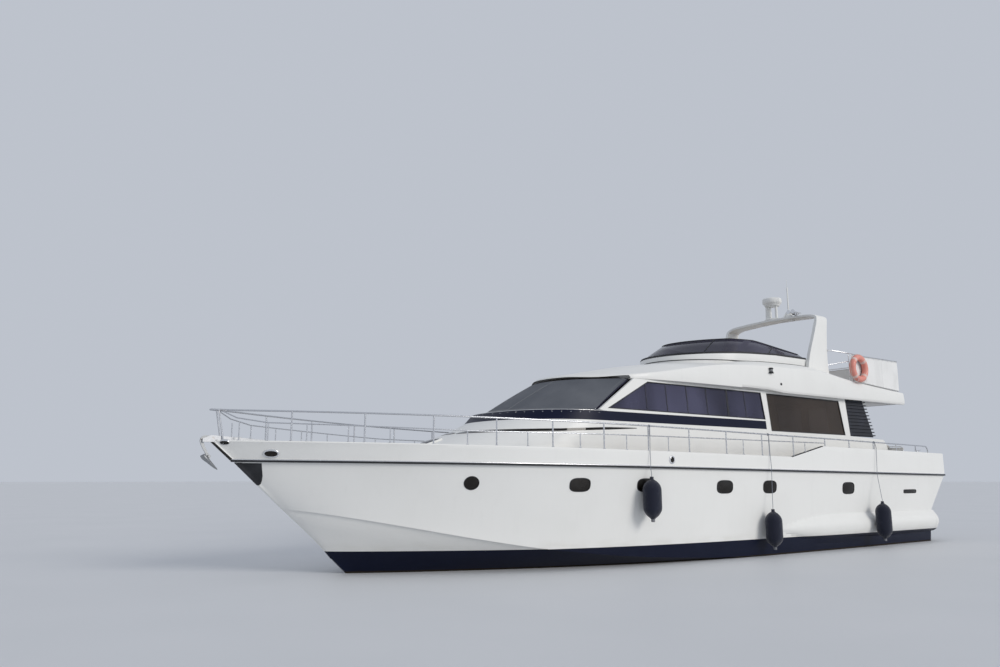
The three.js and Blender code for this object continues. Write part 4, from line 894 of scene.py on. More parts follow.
def slit_window():
    """A black strip bonded round the ledge on each side, which tapers to a point on the house side."""
    rows = []
    for share in np.linspace(0, 1, 90):
        turn = 0.03 + share * 2.2
        x = trunk_point(min(turn, pi / 2), 2.7)[0] - max(turn - pi / 2, 0) * 1.29
        low = np.interp(x, [1.75, 2.6, 3.8, 4.9, 5.2], [2.818, 2.765, 2.705, 2.68, 2.672])
        thick = 0.006 + 0.044 * min(1, (1 - share) * 3.2) ** 0.8 * min(1, 0.5 + share * 12)
        row = []
        for z in (low, low + thick):
            for out, lift in ((-0.012, -0.008), (0.007, 0.007)):
                if turn < pi / 2:
                    row.append(trunk_point(turn, z, out, lift))
                else:
                    row.append((x, side_wall(z) + out, z + lift))
        rows.append([row[0], row[1], row[3], row[2]])
    form = Form()
    for side in (-1, 1):
        form.skin([[(x, side * y, z) for x, y, z in row] for row in rows])
    return form


slit_window().piece("slit_window", port_glass, sharp=50, slot="black_rubber")

# Cover studs: a row of steel studs, screwed into the trunk under the foot of the windscreen, holds its cover
# down. A bright steel moulding runs round the trunk's top over them.
foot_moulding = Form()
for side in (-1, 1):
    line = [trunk_point(a, 3.168, 0.004) for a in quarter_turn]
    foot_moulding.tube([(x, side * y, z) for x, y, z in line], 0.007, 8)
    for k in range(2, 40, 3):
        x, y, z = trunk_point(quarter_turn[k], 3.125, -0.002)
        way = Vector((0.5, side * (0.2 + k / 40), 0.15))
        stud = [(0.01, 0), (0.01, 0.004), (0.006, 0.009), (0, 0.01)]
        foot_moulding.turned(stud, (x, side * y, z), way, 12)
foot_moulding.piece("cover_studs", polished_steel, sharp=60)
bpy.context.view_layer.update()


def skylight_form(x, half):
    """An acrylic skylight in an alloy frame, on the trunk. Coat 1 is the acrylic."""
    _, place, way, _ = trunk.ray_cast((x, 0, 5), (0, 0, -1))
    across = Vector((0, 1, 0)).cross(way).normalized()
    side = way.cross(across)
    frame_steps = [(0, -0.06), (0, 0.022), (0.008, 0.03), (0.04, 0.03), (0.045, 0.02)]
    pane_steps = [(0.046, 0), (0.046, 0.026), (0.06, 0.034), (0.15, 0.042)]
    form = Form()
    for coat, steps in enumerate((frame_steps, pane_steps)):
        rings = []
        for cut, lift in steps:
            reach = half - cut
            rings.append([place + (across * c + side * s) * reach + way * lift for c, s in squared(6, 40)])
        form.skin(rings, coat)
    return form


smoked = dark_glass("skylight_acrylic", (0.02, 0.022, 0.03), 0.92, 0.08)
skylight_form(5.85, 0.24).piece("skylight", [deck_gelcoat, smoked])


# House sides: flat glass fibre panels that lean in a little, glued to the deck and the roof. The forward
# windows are blue tinted and the saloon's are bronze, bonded in black rubber with thin joints.
FORWARD_WINDOW = [(2.5, 3.24), (1.27, 3.875), (-2.715, 3.87), (-2.775, 3.215)]
SALOON_WINDOW = [(-2.985, 2.935), (-2.96, 3.865), (-6.11, 3.845), (-6.2, 2.925)]
SIDES = {"port": 1, "starboard": -1}


def dress(node, finish, edge=0.0, angle=35):
    """Gives a CAD piece its finish, and rounds its edges by a width."""
    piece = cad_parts[node]
    piece.data.materials.clear()
    piece.data.materials.append(finish.material)
    if edge:
        round_edges(piece, edge, angle)


def inset(outline, distance):
    """The outline of (x, z) corners, brought in by a distance on every side."""
    corners = [Vector(corner) for corner in outline]
    ring = [corners[-1], *corners, corners[0]]
    turn = copysign(1, sum(a.x * b.y - b.x * a.y for a, b in zip(ring, corners)))
    moved = []
    for before, corner, after in zip(ring, corners, ring[2:]):
        ways = [(corner - before).normalized(), (after - corner).normalized()]
        inward = [Vector((-way.y, way.x)) * turn for way in ways]
        middle = (inward[0] + inward[1]).normalized()
        moved.append(corner + middle * (distance / middle.dot(inward[0])))
    return moved


def window_glass(name, shade, sky_reflection_shade, alpha):
    """Tinted glass with long soft patches of a paler tone painted in: a painted reflection of a bright sky.
    """
    finish = dark_glass(name, shade, alpha)
    # Painted reflection: the patches take the glass towards the paler tone that a bright sky's reflection
    # gives.
    patch = finish.noise(0.55, 3, (1, 1, 0.35)).ramp(0.35, 0.75)
    return finish.paint(patch, shade, sky_reflection_shade)


# The second shade of each glass is its painted reflection of a bright sky.
blue_glass = window_glass("blue_glass", (0.03, 0.03, 0.055), (0.1, 0.1, 0.17), 0.72)
bronze_glass = window_glass("bronze_glass", (0.034, 0.025, 0.02), (0.08, 0.058, 0.044), 0.68)
gaskets = Form()
GASKET_STEPS = [(-0.014, -0.01), (-0.012, 0.003), (0.006, 0.004), (0.01, -0.017), (0.01, -0.03)]
PANE_JOINTS = [  # x and half width of the forward window's joints
    (1.35, 0.009), (0.7, 0.012), (0.02, 0.012), (-0.66, 0.012), (-1.41, 0.028), (-2.07, 0.012),
]
for name, side in SIDES.items():
    dress(f"house_side_{name}", house_gelcoat, 0.003)
    dress(f"forward_window_{name}", blue_glass)
    dress(f"saloon_window_{name}", bronze_glass)
    for window in (FORWARD_WINDOW, SALOON_WINDOW):
        rings = []
        for cut, out in GASKET_STEPS:
            rings.append([(x, side * (side_wall(z) + out), z) for x, z in inset(window, cut)])
        gaskets.skin(rings, ends=False)
    for x, half in PANE_JOINTS:
        head = 3.87 - max(x - 1.27, 0) * 0.516
        bar = [(x - half, 3.23), (x + half, 3.23), (x + half, head), (x - half, head)]
        gaskets.skin([[(a, side * (side_wall(z) - depth), z) for a, z in bar] for depth in (0.034, 0.014)])
gaskets.piece("window_gaskets", black_rubber)


# Curtains: unlined cotton gathered on a track inside the windows. The saloon's are drawn back to the ends of
# their window, and the forward ones are drawn over most of theirs.
def cotton(name, light, shade, weave=420):
    """A plain weave with soft colour changes along its folds."""
    finish = Finish(name, "upholstery", Roughness=0.9, Sheen_Weight=0.25, Sheen_Roughness=0.5)
    threads = abs(finish.x * weave % 1 - 0.5) + abs((finish.y + finish.z) * weave % 1 - 0.5)
    return finish.paint(finish.noise(3, 4), light, shade).bump(threads, 0.0006)


curtain_cotton = cotton("curtain_cotton", (0.62, 0.58, 0.5), (0.48, 0.44, 0.37))


def run_length(points):
    """The length of the line through the points."""
    points = [Vector(point) for point in points]
    return sum((b - a).length for a, b in zip(points, points[1:]))


def curtain(name, front, aft, low, high, side):
    """Pleats on a track along the wall. The folds open a little towards the hem."""
    steps = round(abs(front - aft) / 0.07) * 10
    rows = []
    for z in np.linspace(high, low, 14):
        open_fold = 0.028 + 0.012 * (high - z) / (high - low)
        row = []
        for k in range(steps + 1):
            swing = open_fold * sin(2 * pi * k / 10) + 0.006 * sin(k * 0.37 + z * 5)
            row.append((front + (aft - front) * k / steps, side * (side_wall(z) - 0.15 - swing), z))
        rows.append(row)
    piece = Form().sheet(rows).piece(name, curtain_cotton, sharp=80)
    run_length(rows[7])


for name, side in SIDES.items():
    curtain(f"saloon_curtain_front_{name}", -3.0, -3.42, 2.55, 3.84, side)
    curtain(f"saloon_curtain_aft_{name}", -5.72, -6.18, 2.55, 3.83, side)
    curtain(f"forward_curtain_{name}", 1.45, -1.56, 3.05, 3.85, side)


# Louvred wings: black moulded slats aft of the saloon windows, which let air to the engine room. Each wing is
# one moulding, bonded to the end of the house side.
slat_plastic = dark_rubber("slat_plastic", (0.01, 0.012, 0.02))
for name in SIDES:
    dress(f"louvre_{name}", slat_plastic, 0.004, 50)


# Aft bulkhead: a glass fibre wall with a fixed bronze pane on each side of a glazed sliding door. The door
# is an alloy frame that hangs on a track over the opening.
def glazed(finish, pane):
    """A frame's finish with glass where the signal is 1."""
    shade = finish.mix(finish.noise(1.8, 4), (0.03, 0.026, 0.024), (0.075, 0.066, 0.058))
    finish.paint(pane, finish.colour, shade)
    return finish.set(Roughness=finish.gloss * (1 - pane) + 0.04, Alpha=1 - pane * 0.3)


inner, outer, low, high = 0.64, 1.56, 2.56, 3.76  # the fixed panes' edges, across and in height
BULKHEAD_FACE = BULKHEAD + 0.01
bulkhead_gelcoat = gelcoat("bulkhead_gelcoat")
fixed_panes = abs(bulkhead_gelcoat.y).within(inner, outer) * bulkhead_gelcoat.z.within(low, high)
dress("aft_bulkhead", glazed(bulkhead_gelcoat, fixed_panes), 0.004)
door_alloy = gelcoat("door_alloy", (0.62, 0.63, 0.64), (0.52, 0.53, 0.54))
door_pane = abs(door_alloy.y).within(-1, 0.39) * door_alloy.z.within(2.148, 3.79)
dress("saloon_door", glazed(door_alloy, door_pane), 0.004)
pull_route = [(-6.486, -0.42, 2.75), (-6.53, -0.42, 2.78), (-6.53, -0.42, 3.22), (-6.486, -0.42, 3.25)]
Form().tube(pull_route, 0.012).piece("door_pull", polished_steel, body="saloon_door", sharp=60)
pane_trim = Form()
for near, far in [(inner, outer), (-outer, -inner)]:
    window = [(near, low), (far, low), (far, high), (near, high)]
    steps = [(-0.02, 0.0005), (-0.02, -0.0025), (0.006, -0.003), (0.006, 0.0005)]
    rings = [[(BULKHEAD_FACE + out, y, z) for y, z in inset(window, cut)] for cut, out in steps]
    pane_trim.skin(rings, ends=False)
pane_trim.piece("bulkhead_gaskets", black_rubber)


# Windscreen: one curved tinted pane in front, under a cover of woven vinyl mesh. The cover is cut in panels
# that are sewn together, hemmed all round and held down by the studs.
SCREEN = {"half": (1.75, 1.64), "nose": (4.14, 2.78), "corner": (2.8, 1.72), "height": (3.182, 3.92)}


def screen_point(u, v, lift):
    half, nose, corner, height = (a + (b - a) * v for a, b in SCREEN.values())
    s = 2 * u - 1
    x = nose - (nose - corner) * abs(s) ** 2.2 + 0.5 * lift + 0.03 * sin(pi * v)
    return x, half * s, height + 0.85 * lift


dress("windscreen", blue_glass)


def mesh_cloth():
    """Grey woven vinyl mesh, weathered in broad patches."""
    finish = Finish("mesh_cloth", "mesh_cloth", Roughness=0.78, Specular_IOR_Level=0.35)
    weave = abs(finish.y * 190 % 1 - 0.5) + abs((finish.x + finish.z) * 190 % 1 - 0.5)
    sun_bleach = finish.noise(0.8, 4)
    cloth = finish.mix(sun_bleach.ramp(0.3, 0.75), (0.105, 0.115, 0.135), (0.165, 0.175, 0.195))
    finish.paint(weave * 0.5, cloth, (0.045, 0.05, 0.06))
    return finish.bump(weave + sun_bleach * 3, 0.0012)


def cover_layer(lift):
    """One side of the cover. It sags a little between its seams."""
    rows = []
    for v in np.linspace(0, 1, 21):
        sags = [(u, 0.004 * sin(pi * v) * sin(7 * pi * u) ** 2) for u in np.linspace(0, 1, 97)]
        rows.append([screen_point(u, v, lift - sag) for u, sag in sags])
    return rows


cover = Form().cloth(cover_layer(0.024), cover_layer(0.021))
cover = cover.piece("screen_cover", mesh_cloth(), replaces="windscreen_cover")
cover_width = run_length([screen_point(u, 0.5, 0.024) for u in np.linspace(0, 1, 61)])


def tape(route, step, lift, half):
    """A flat tape of doubled cloth over places (u, v) on the cover. The step leads across the tape."""
    rings = []
    for u, v in route:
        point = Vector(screen_point(u, v, lift))
        across = Vector(screen_point(u + step[0], v + step[1], 0)) - Vector(screen_point(u, v, 0))
        way, up = across.normalized() * half, Vector((0.5, 0, 0.85)) * 0.0045
        rings.append([point - way, point - way + up, point + way + up, point + way])
    return rings


hem = Form().skin(tape([(u, 0.018) for u in np.linspace(0.005, 0.995, 70)], (0, 0.01), 0.023, 0.016))
for u in (0.014, 0.4, 0.6, 0.986):
    hem.skin(tape([(u, v) for v in np.linspace(0.01, 0.99, 20)], (0.01, 0), 0.0225, 0.012))
hem_cloth = cotton("hem_cloth", (0.085, 0.095, 0.11), (0.12, 0.13, 0.145))
hem = hem.piece("cover_hem", hem_cloth, slot="mesh_cloth")


# Roof: a glass fibre moulding with a deep rounded brow over the windows. Along each side it rises into the
# coaming of the flybridge, and its sole runs aft over the cockpit.
ROOF_UNDERSIDE = 3.93
BROW = [  # columns: x on the centre line, how far the sides trail, half breadth, side and middle heights
    (2.76, 1.06, 1.7, 4.01, 4.012), (2.72, 1.06, 1.715, 4.024, 4.045), (2.45, 1.05, 1.79, 4.06, 4.1),
    (1.76, 1.0, 1.87, 4.15, 4.24), (0.8, 0.8, 1.935, 4.28, 4.42), (-0.5, 0.5, 1.965, 4.43, 4.56),
    (-1.5, 0.3, 1.975, 4.5, 4.6),
]
brow_at = faired(BROW)


def brow_ring(x):
    back, half, side_top, middle_top = brow_at(x)
    crown = faired([(0, middle_top), (0.35 * half, middle_top), (0.72 * half, middle_top - 0.03),
                    (half - 0.045, side_top + 0.008)])
    edge = 0.03
    ring = [(half - 0.12, ROOF_UNDERSIDE), (half - 0.03, 3.932), (half - 0.006, 3.945), (half, 3.968)]
    ring += [(half - 0.004, (3.97 + side_top) / 2)] if side_top > 4.02 else []
    ring += [(half - 0.012 - edge * (1 - cos(a)), side_top - 0.022 + edge * sin(a)) for a in (0, 0.5, 1.0)]
    ring += [(y, float(crown(y)[0])) for y in np.linspace(half - 0.055, 0, 16)]
    return [(x - back * (y / half) ** 2, y, z) for y, z in ring]


ROOF_AFT_TOP = 4.25
FLY_FLOOR = 4.1
COAMING_FOOT = ([-3.5, -2.85], [3.9, 3.955])  # its lower edge steps down behind the forward window
COAMING = faired([  # columns: x, top and shoulder heights
    (-1.2, 4.44, 4.5), (-2.0, 4.51, 4.63), (-2.75, 4.54, 4.69), (-3.6, 4.56, 4.72), (-5.1, 4.57, 4.72),
    (-6.3, 4.45, 4.56), (-7.5, 4.36, 4.42), (-9.3, ROOF_AFT_TOP - 0.005, ROOF_AFT_TOP + 0.015),
])


def side_coaming(side):
    rings = []
    for x in [-1.2, *np.linspace(-1.4, -9.25, 50), -9.285]:
        foot = np.interp(x, *COAMING_FOOT)
        top, shoulder = COAMING(x)
        tuck = 0.014 * max(1 - (-1.2 - x) / 0.8, 0)  # the front end runs out into the brow
        rise = shoulder - top
        crown = [(1.945 - 0.305 * t, top + rise * (1 - (1 - t) ** 1.8)) for t in np.linspace(0, 1, 9)]
        half = [(1.7, ROOF_UNDERSIDE), (1.93, foot), (1.945, foot + 0.006), (1.968, foot + 0.04)]
        half += [(1.975, foot + 0.08), (1.966, (foot + top) / 2 + 0.04), (1.956, top - 0.04), *crown]
        half += [(1.58, shoulder), (1.56, shoulder - 0.02), (1.56, ROOF_UNDERSIDE)]
        rings.append([(x, side * (y - tuck), z) for y, z in half])
    return rings


def fly_sole():
    """The sole with the opening for the ladder, and the upstand across its aft end."""
    aft, front, starboard, port = -8.35, -7.45, -1.45, -0.8
    form = Form()
    for x0, x1, y0, y1 in [(-9.29, aft, -1.6, 1.6), (aft, front, -1.6, starboard), (aft, front, port, 1.6),
                           (front, -0.9, -1.6, 1.6)]:
        form.block((x0, y0, ROOF_UNDERSIDE), (x1, y1, FLY_FLOOR))
    return form.block((-9.3, -1.9, ROOF_UNDERSIDE), (-9.2, 1.9, ROOF_AFT_TOP))


def brow_form():
    rings = []
    for x in [2.76, 2.745, 2.72, 2.68, *np.linspace(2.6, -1.5, 40)]:
        port = brow_ring(x)
        if x >= 2.7:
            port = [(a, b, min(c, brow_at(x)[3])) for a, b, c in port]
        while len(port) < 24:
            port.insert(4, port[4])
        rings.append(both_sides(port))
    return Form().skin(rings)


roof_gelcoat = gelcoat("roof_gelcoat")
brow_form().piece("roof_moulding", roof_gelcoat, sharp=32, replaces="roof")
Form().skin(side_coaming(1)).skin(side_coaming(-1)).piece("roof_side_coamings", roof_gelcoat, sharp=32)
fly_deck = fly_sole().piece("fly_sole", [roof_gelcoat, teak("fly_teak")], edge=0.008)
for face in fly_deck.data.polygons:
    face.material_index = int(face.normal.z > 0.9 and face.center.z < 4.2)


# Flybridge coaming and screen: a glass fibre rim that bends round the front of the flybridge, with a low
# screen of smoked acrylic standing in a black rubber channel on it. The screen is in five panels.
FLY_NOSE = -0.83
FLY_AFT = -5.18
FLY_BEND = 0.62  # share of the plan that is the curved front


def glass_foot(x):
    return min(4.83 + (FLY_NOSE - x) * 0.045, 4.965)


def glass_head(x):
    return min(5.21 + (FLY_NOSE - x) * 0.08, 5.345, 5.135 + (x - FLY_AFT) * 0.11)


def fly_plan(u, cut):
    """A point of the rim's plan, brought in by a cut. u runs from one aft end to the other."""
    around = abs(2 * u - 1)
    half, nose = 1.52 - 0.35 * cut, FLY_NOSE - cut
    a = pi / 2 * min(around / FLY_BEND, 1)
    x = nose - 2.1 * (1 - cos(a))
    if around > FLY_BEND:
        x += (FLY_AFT - x) * (around - FLY_BEND) / (1 - FLY_BEND)
    return x, (half * sin(a)) * (1 if u > 0.5 else -1)


def fly_wall(profile, first=0.0, last=1.0, count=150):
    """Rings of a wall along the rim, from (cut, height over the glass foot, share of the glass)."""
    rings = []
    for u in np.linspace(first, last, count):
        foot = glass_foot(fly_plan(u, 0.02)[0])
        high = glass_head(fly_plan(u, 0.72)[0]) - foot
        rings.append([(*fly_plan(u, cut), foot + rise + high * share) for cut, rise, share in profile])
    return rings


rim = [(-0.04, -0.68, 0), (-0.005, -0.05, 0), (0, -0.02, 0), (0.008, -0.006, 0), (0.02, 0, 0), (0.06, 0, 0),
       (0.078, -0.006, 0), (0.09, -0.02, 0), (0.09, -0.68, 0)]
Form().skin(fly_wall(rim)).piece("fly_coaming_moulding", roof_gelcoat, sharp=40, replaces="fly_coaming")
panel = [(0.02, 0.002, 0), (0.16, 0, 0.2), (0.37, 0, 0.5), (0.72, 0, 1), (0.734, 0, 1), (0.384, 0, 0.5),
         (0.174, 0, 0.2), (0.034, 0.002, 0)]
# The second shade is the acrylic's painted reflection of a bright sky.
smoked_acrylic = window_glass("smoked_acrylic", (0.016, 0.014, 0.032), (0.046, 0.04, 0.08), 0.8)
smoked_acrylic.slot = "smoked_acrylic"
Form().skin(fly_wall(panel)).piece("fly_screen_panels", smoked_acrylic, sharp=50, replaces="fly_screen")
channel = [(0.0, -0.004, 0), (0.006, 0.012, 0), (0.03, 0.045, 0), (0.062, 0.04, 0), (0.062, -0.004, 0)]
head_edge = [(0.702, 0, 0.985), (0.712, 0.012, 1), (0.74, 0.012, 1), (0.744, 0, 0.985)]
screen_trim = Form().skin(fly_wall(channel)).skin(fly_wall(head_edge))
for u in (0.14, 0.86, 0.345, 0.655):
    clip = [(0.012 + 0.7 * v, 0.004, v) for v in (0, 0.25, 0.5, 0.75, 1)]
    clip += [(cut + 0.03, rise, share) for cut, rise, share in reversed(clip)]
    screen_trim.skin(fly_wall(clip, u - 0.0016, u + 0.0016, 2))
screen_trim.piece("fly_screen_trim", black_rubber, sharp=50)


def shadow_gap_line():
    """A black tube along the joint of rim and roof, a painted shadow gap between them. It comes out over the
    side coamings' shoulders further aft.
    """
    line = []
    for u in np.linspace(0.012, 0.988, 120):
        x, y = fly_plan(u, -0.012)
        aft = min(max((-2.1 - x) / 0.9, 0), 1)
        over = COAMING(min(x, -1.2))[1] + 0.006
        line.append((x, y + copysign(0.115 * aft, y), 4.7 + (over - 4.7) * aft))
    return line


# Painted shade: this black tube stands for the shadow gap between the rim and the roof.
Form().tube(shadow_gap_line(), 0.011, 8).piece("fly_shadow_gap_tube", black_rubber, sharp=80)


# Radar arch: a glass fibre hoop that leans aft, its legs bolted to the coamings. It carries the radome on
# two short masts, and a whip aerial on a plastic base.
ARCH = [  # columns: half breadth, height, front and aft x
    (1.7, 4.5, -4.98, -5.98), (1.64, 5.0, -5.18, -6.03), (1.6, 5.9, -5.62, -6.16),
    (1.592, 6.1, -5.7, -6.2), (1.56, 6.24, -5.74, -6.235), (1.45, 6.31, -5.76, -6.25),
    (0.9, 6.37, -5.76, -6.25), (0, 6.4, -5.76, -6.25),
]


def distances(points):
    """How far along the line through the points each of them lies, by its first two coordinates."""
    return np.cumsum([0, *(hypot(b[0] - a[0], b[1] - a[1]) for a, b in zip(points, points[1:]))])


def arch_path():
    """The hoop's outer line with fair curves between its stations, from the port foot to the starboard."""
    marks = distances(ARCH)
    line = faired([(s, *station) for s, station in zip(marks, ARCH)])
    half = [tuple(line(s)) for s in np.linspace(0, marks[-1], 60)]
    return half + [(-y, z, front, aft) for y, z, front, aft in reversed(half[:-1])]


def arch_form():
    rings = []
    for before, (y, z, front, aft), after in neighbours(arch_path()):
        way = Vector((after[0] - before[0], after[1] - before[1])).normalized()
        thick = np.interp(z, [6.0, 6.3], [0.12, 0.075])
        ring = []
        for (c, _), (_, s) in zip(squared(12, 28), squared(7, 28)):
            depth = thick / 2 * (1 + s)
            ring.append(((front + aft) / 2 + (front - aft) / 2 * c, y - way.y * depth, z + way.x * depth))
        rings.append(ring)
    return Form().skin(rings)


arch_form().piece("arch_moulding", roof_gelcoat, sharp=50, replaces="radar_arch")


def radome_form():
    form = Form()
    x, y = -5.99, -0.04
    form.turned([(0.001, 0), (0.21, 0), (0.235, 0.02), (0.235, 0.06), (0.21, 0.08), (0, 0.085)], (x, y, 6.36))
    for dy, thick in ((-0.14, 0.09), (0.13, 0.04)):
        form.turned([(thick + 0.02, 0), (thick, 0.03), (thick, 0.1), (thick * 0.9, 0.46)], (x, y + dy, 6.4))
    bowl = [(0.19, 0), (0.208, 0.004), (0.222, 0.03), (0.24, 0.058), (0.262, 0.078), (0.274, 0.1),
            (0.272, 0.105)]
    drum = [(0.276, 0.11), (0.277, 0.13)]
    drum += [(0.215 + 0.062 * cos(a) ** 0.7, 0.185 + 0.058 * sin(a)) for a in np.linspace(0, pi / 2, 9)]
    return form.turned([*bowl, *drum, (0.1, 0.246), (0, 0.247)], (x, y, 6.823), sides=48)


radome_form().piece("radome_and_masts", gelcoat("radome_plastic"), sharp=45, replaces="radome")
aerial_foot = [(0.15, -0.02), (0.15, 0.008), (0.138, 0.03), (0.1, 0.12), (0.06, 0.19), (0.03, 0.225),
               (0.022, 0.24)]
whip = [(0.022, 0.26), (0.02, 0.9), (0.019, 0.92), (0.006, 0.925), (0.005, 1.15), (0, 1.16)]
aerial = Form().turned([*aerial_foot, *whip], (-6.0, 0.5, 6.39))
aerial.tube([(-5.93, 0.5, 6.49), (-5.84, 0.47, 6.46), (-5.8, 0.45, 6.385)], 0.006)
aerial.piece("whip_aerial", gelcoat("aerial_plastic"), replaces="aerial", slot="aerial_plastic")


# Fittings on the arch and the roof: navigation lights in black cases, twin horns and a small receiver dome.
# Each is screwed down through its own foot.
fittings = Form()
lenses = Form()
chrome = Form()
for side in (-1, 1):
    low, high = sorted((side * 1.95, side * 2.02))
    x, y = -2.945, side * 1.99
    fittings.block((-3.02, low, 4.37), (-2.87, high, 4.385))
    fittings.turned([(0.05, 0), (0.055, 0.01), (0.055, 0.02), (0.04, 0.028)], (x, y, 4.385), sides=20)
    lenses.turned([(0.042, 0), (0.046, 0.01), (0.046, 0.06), (0.042, 0.07)], (x, y, 4.405), sides=20)
    fittings.turned([(0.045, 0), (0.056, 0.006), (0.056, 0.03), (0.03, 0.04)], (x, y, 4.472), sides=20)
    button = [(0.03, 0), (0.034, 0.01), (0.03, 0.03), (0, 0.036)]
    fittings.turned(button, (-3.35, side * 1.955, 4.12), (0, side, 0.1))
    horn = [(0.03, -0.2), (0.022, -0.1), (0.024, 0.05), (0.034, 0.14), (0.06, 0.2), (0.055, 0.2)]
    chrome.turned(horn, (-5.62, 0.96 + side * 0.06, 6.43), (1, 0.05 * side, 0.02))
chrome.turned([(0.05, 0), (0.03, 0.02), (0.025, 0.1)], (-5.68, 0.96, 6.36))
dome = [(0.05, 0), (0.03, 0.02), (0.025, 0.06), (0.09, 0.07), (0.095, 0.09), (0.08, 0.13), (0.04, 0.15),
        (0, 0.154)]
domes = Form().turned(dome, (-5.95, 0.76, 6.38))
lamp_case = [(0.03, 0), (0.05, 0.01), (0.052, 0.05), (0.04, 0.06), (0, 0.062)]
arch_lamp = Form().turned(lamp_case, (-5.9, 0.7, 6.31), (0, 0, -1), 24)
fittings.piece("light_cases", black_rubber)
lenses.piece("light_lenses", dark_glass("lens", (0.2, 0.21, 0.22), 0.7))
chrome.piece("horns", polished_steel, sharp=50)
domes.piece("receiver_dome", slat_plastic, slot="aerial_plastic")
arch_lamp.piece("arch_lamp", gelcoat("lamp_plastic"), slot="aerial_plastic")


# Helm positions: a moulded console on the flybridge and one inside, each with a black dash panel, gauges
# with bright bezels and a pair of throttle levers.
def satin_plastic(name, shade=(0.018, 0.018, 0.02)):
    finish = Finish(name, "black_plastic")
    scuff = finish.noise(14, 4)
    finish.paint(scuff.ramp(0.5, 0.9), shade, tuple(c * 1.8 + 0.01 for c in shade))
    return finish.set(Roughness=0.38 + scuff * 0.2).bump(finish.noise(700, 2), 0.0003)


dash_plastic = satin_plastic("dash_plastic")
gauge_glass = dark_glass("gauge_glass", (0.006, 0.007, 0.008))
dash_leather = satin_plastic("dash_leather", (0.055, 0.042, 0.032))


def dash(name, top, foot, y0, y1, wheel_y, to_levers):
    """The panel on a console's slope, from its top to its foot, with what is screwed into it."""
    top, foot = Vector((top[0], 0, top[1])), Vector((foot[0], 0, foot[1]))
    down = (foot - top).normalized()
    way = Vector((down.z, 0, -down.x))
    form = Form()
    corners = [(y0, 0.02), (y1, 0.02), (y1, (foot - top).length - 0.02), (y0, (foot - top).length - 0.02)]
    form.skin([[top + down * z + Vector((0, y, 0)) + way * lift for y, z in inset(corners, cut)]
               for cut, lift in [(0, -0.004), (0, 0.003), (0.004, 0.005)]])
    gauges = [wheel_y + dy for dy in (-0.42, -0.29, 0.29, 0.42)]
    for y in [y for y in gauges if y0 + 0.06 < y < y1 - 0.06]:
        for drop in (0.08, 0.2):
            base = top + down * drop + Vector((0, y, 0))
            form.turned([(0.046, 0), (0.046, 0.01), (0.041, 0.013), (0.038, 0.009)], base, way, 28, coat=1)
            form.turned([(0.039, 0), (0.039, 0.0085), (0.02, 0.009), (0, 0.009)], base, way, 28, coat=2)
    for k in (0, 1):
        base = top + Vector((0.1, wheel_y + to_levers + 0.06 * k, -0.005))
        form.tube([base, base + Vector((-0.01, 0, 0.07)), base + Vector((-0.03, 0, 0.12))], 0.007, 8, coat=1)
        knob = [(0.004, -0.014), (0.014, -0.006), (0.016, 0.004), (0.01, 0.014)]
        form.turned(knob, base + Vector((-0.033, 0, 0.126)), (-0.3, 0, 1), 16)
    form.piece(name, [dash_plastic, polished_steel, gauge_glass], sharp=50)


dress("fly_console", roof_gelcoat, 0.03)
dress("helm_console", dash_leather, 0.02)
dash("fly_dash", (-2.48, 4.9), (-2.637, 4.644), -0.11, 0.84, wheel_y=0.42, to_levers=0.38)
dash("helm_dash", (1.9, 3.15), (1.742, 2.86), -1.45, 0.15, wheel_y=-0.7, to_levers=0.62)
bowl = [(0.085, 0), (0.085, 0.012), (0.07, 0.02), (0.062, 0.045), (0.045, 0.075), (0.02, 0.088), (0, 0.09)]
Form().turned(bowl, (-2.2, 0.42, 4.945)).piece("fly_compass", dash_plastic)


# Steering wheels: a steel rim, bound in black leather, on three bright spokes. They are welded to a boss that
# turns on the dash.
def steering_wheel(node, centre, tilt, radius):
    """A wheel whose axis looks aft and up, at a tilt from level."""
    centre, axis = Vector(centre), Vector((-cos(tilt), 0, sin(tilt)))
    across = Vector((0, 1, 0))
    up = axis.cross(across)
    rim = [centre + (across * cos(a) + up * sin(a)) * radius for a in turns(64)]
    form = Form().tube(rim, 0.016, 12, loop=True)
    boss = [(0.03, 0.092), (0.034, 0.06), (0.03, 0.03), (0.042, 0.012), (0.042, -0.012), (0.03, -0.02),
            (0, -0.022)]
    form.turned(boss, centre, -axis, coat=1)
    for turn in turns(3):
        way = across * cos(pi / 2 + turn) + up * sin(pi / 2 + turn)
        reaches = np.linspace(0.03, radius, 8)
        spoke = [centre + way * r - axis * (0.012 * sin(pi * r / radius)) for r in reaches]
        form.tube(spoke, 0.0085, 8, coat=1)
    leather = satin_plastic(node + "_leather", (0.02, 0.019, 0.018))
    form.piece(node + "_bound", [leather, polished_steel], body=node, sharp=50, replaces=node)


steering_wheel("fly_wheel", (-2.6351, 0.42, 4.8192), tilt=0.55, radius=0.19)
steering_wheel("helm_wheel", (1.7419, -0.7, 3.0483), tilt=0.5, radius=0.2)


# Seats: foam cushions in coated cloth with welted seams, on glass fibre plinths. Each cushion's shape comes
# from a cloth simulation of its cover, filled from a start a little under its size.
SLACK = 0.008  # how much smaller than the cushion its cover starts, on each side
SWELL = {"seat": 0.022, "back": 0.024}
stuffed_shapes = {}


def rounded_box(size, radius):
    mesh = bpy.data.meshes.new("cover")
    work = bmesh.new()
    bmesh.ops.create_cube(work, size=1)
    for vert in work.verts:
        vert.co = [vert.co[k] * size[k] for k in range(3)]
    bmesh.ops.bevel(work, geom=work.edges[:], offset=radius, segments=4, affect="EDGES", profile=0.5)
    work.to_mesh(mesh)
    work.free()
    return mesh


def places_of(mesh):
    places = np.empty(len(mesh.vertices) * 3)
    mesh.vertices.foreach_get("co", places)
    return places.reshape(-1, 3)


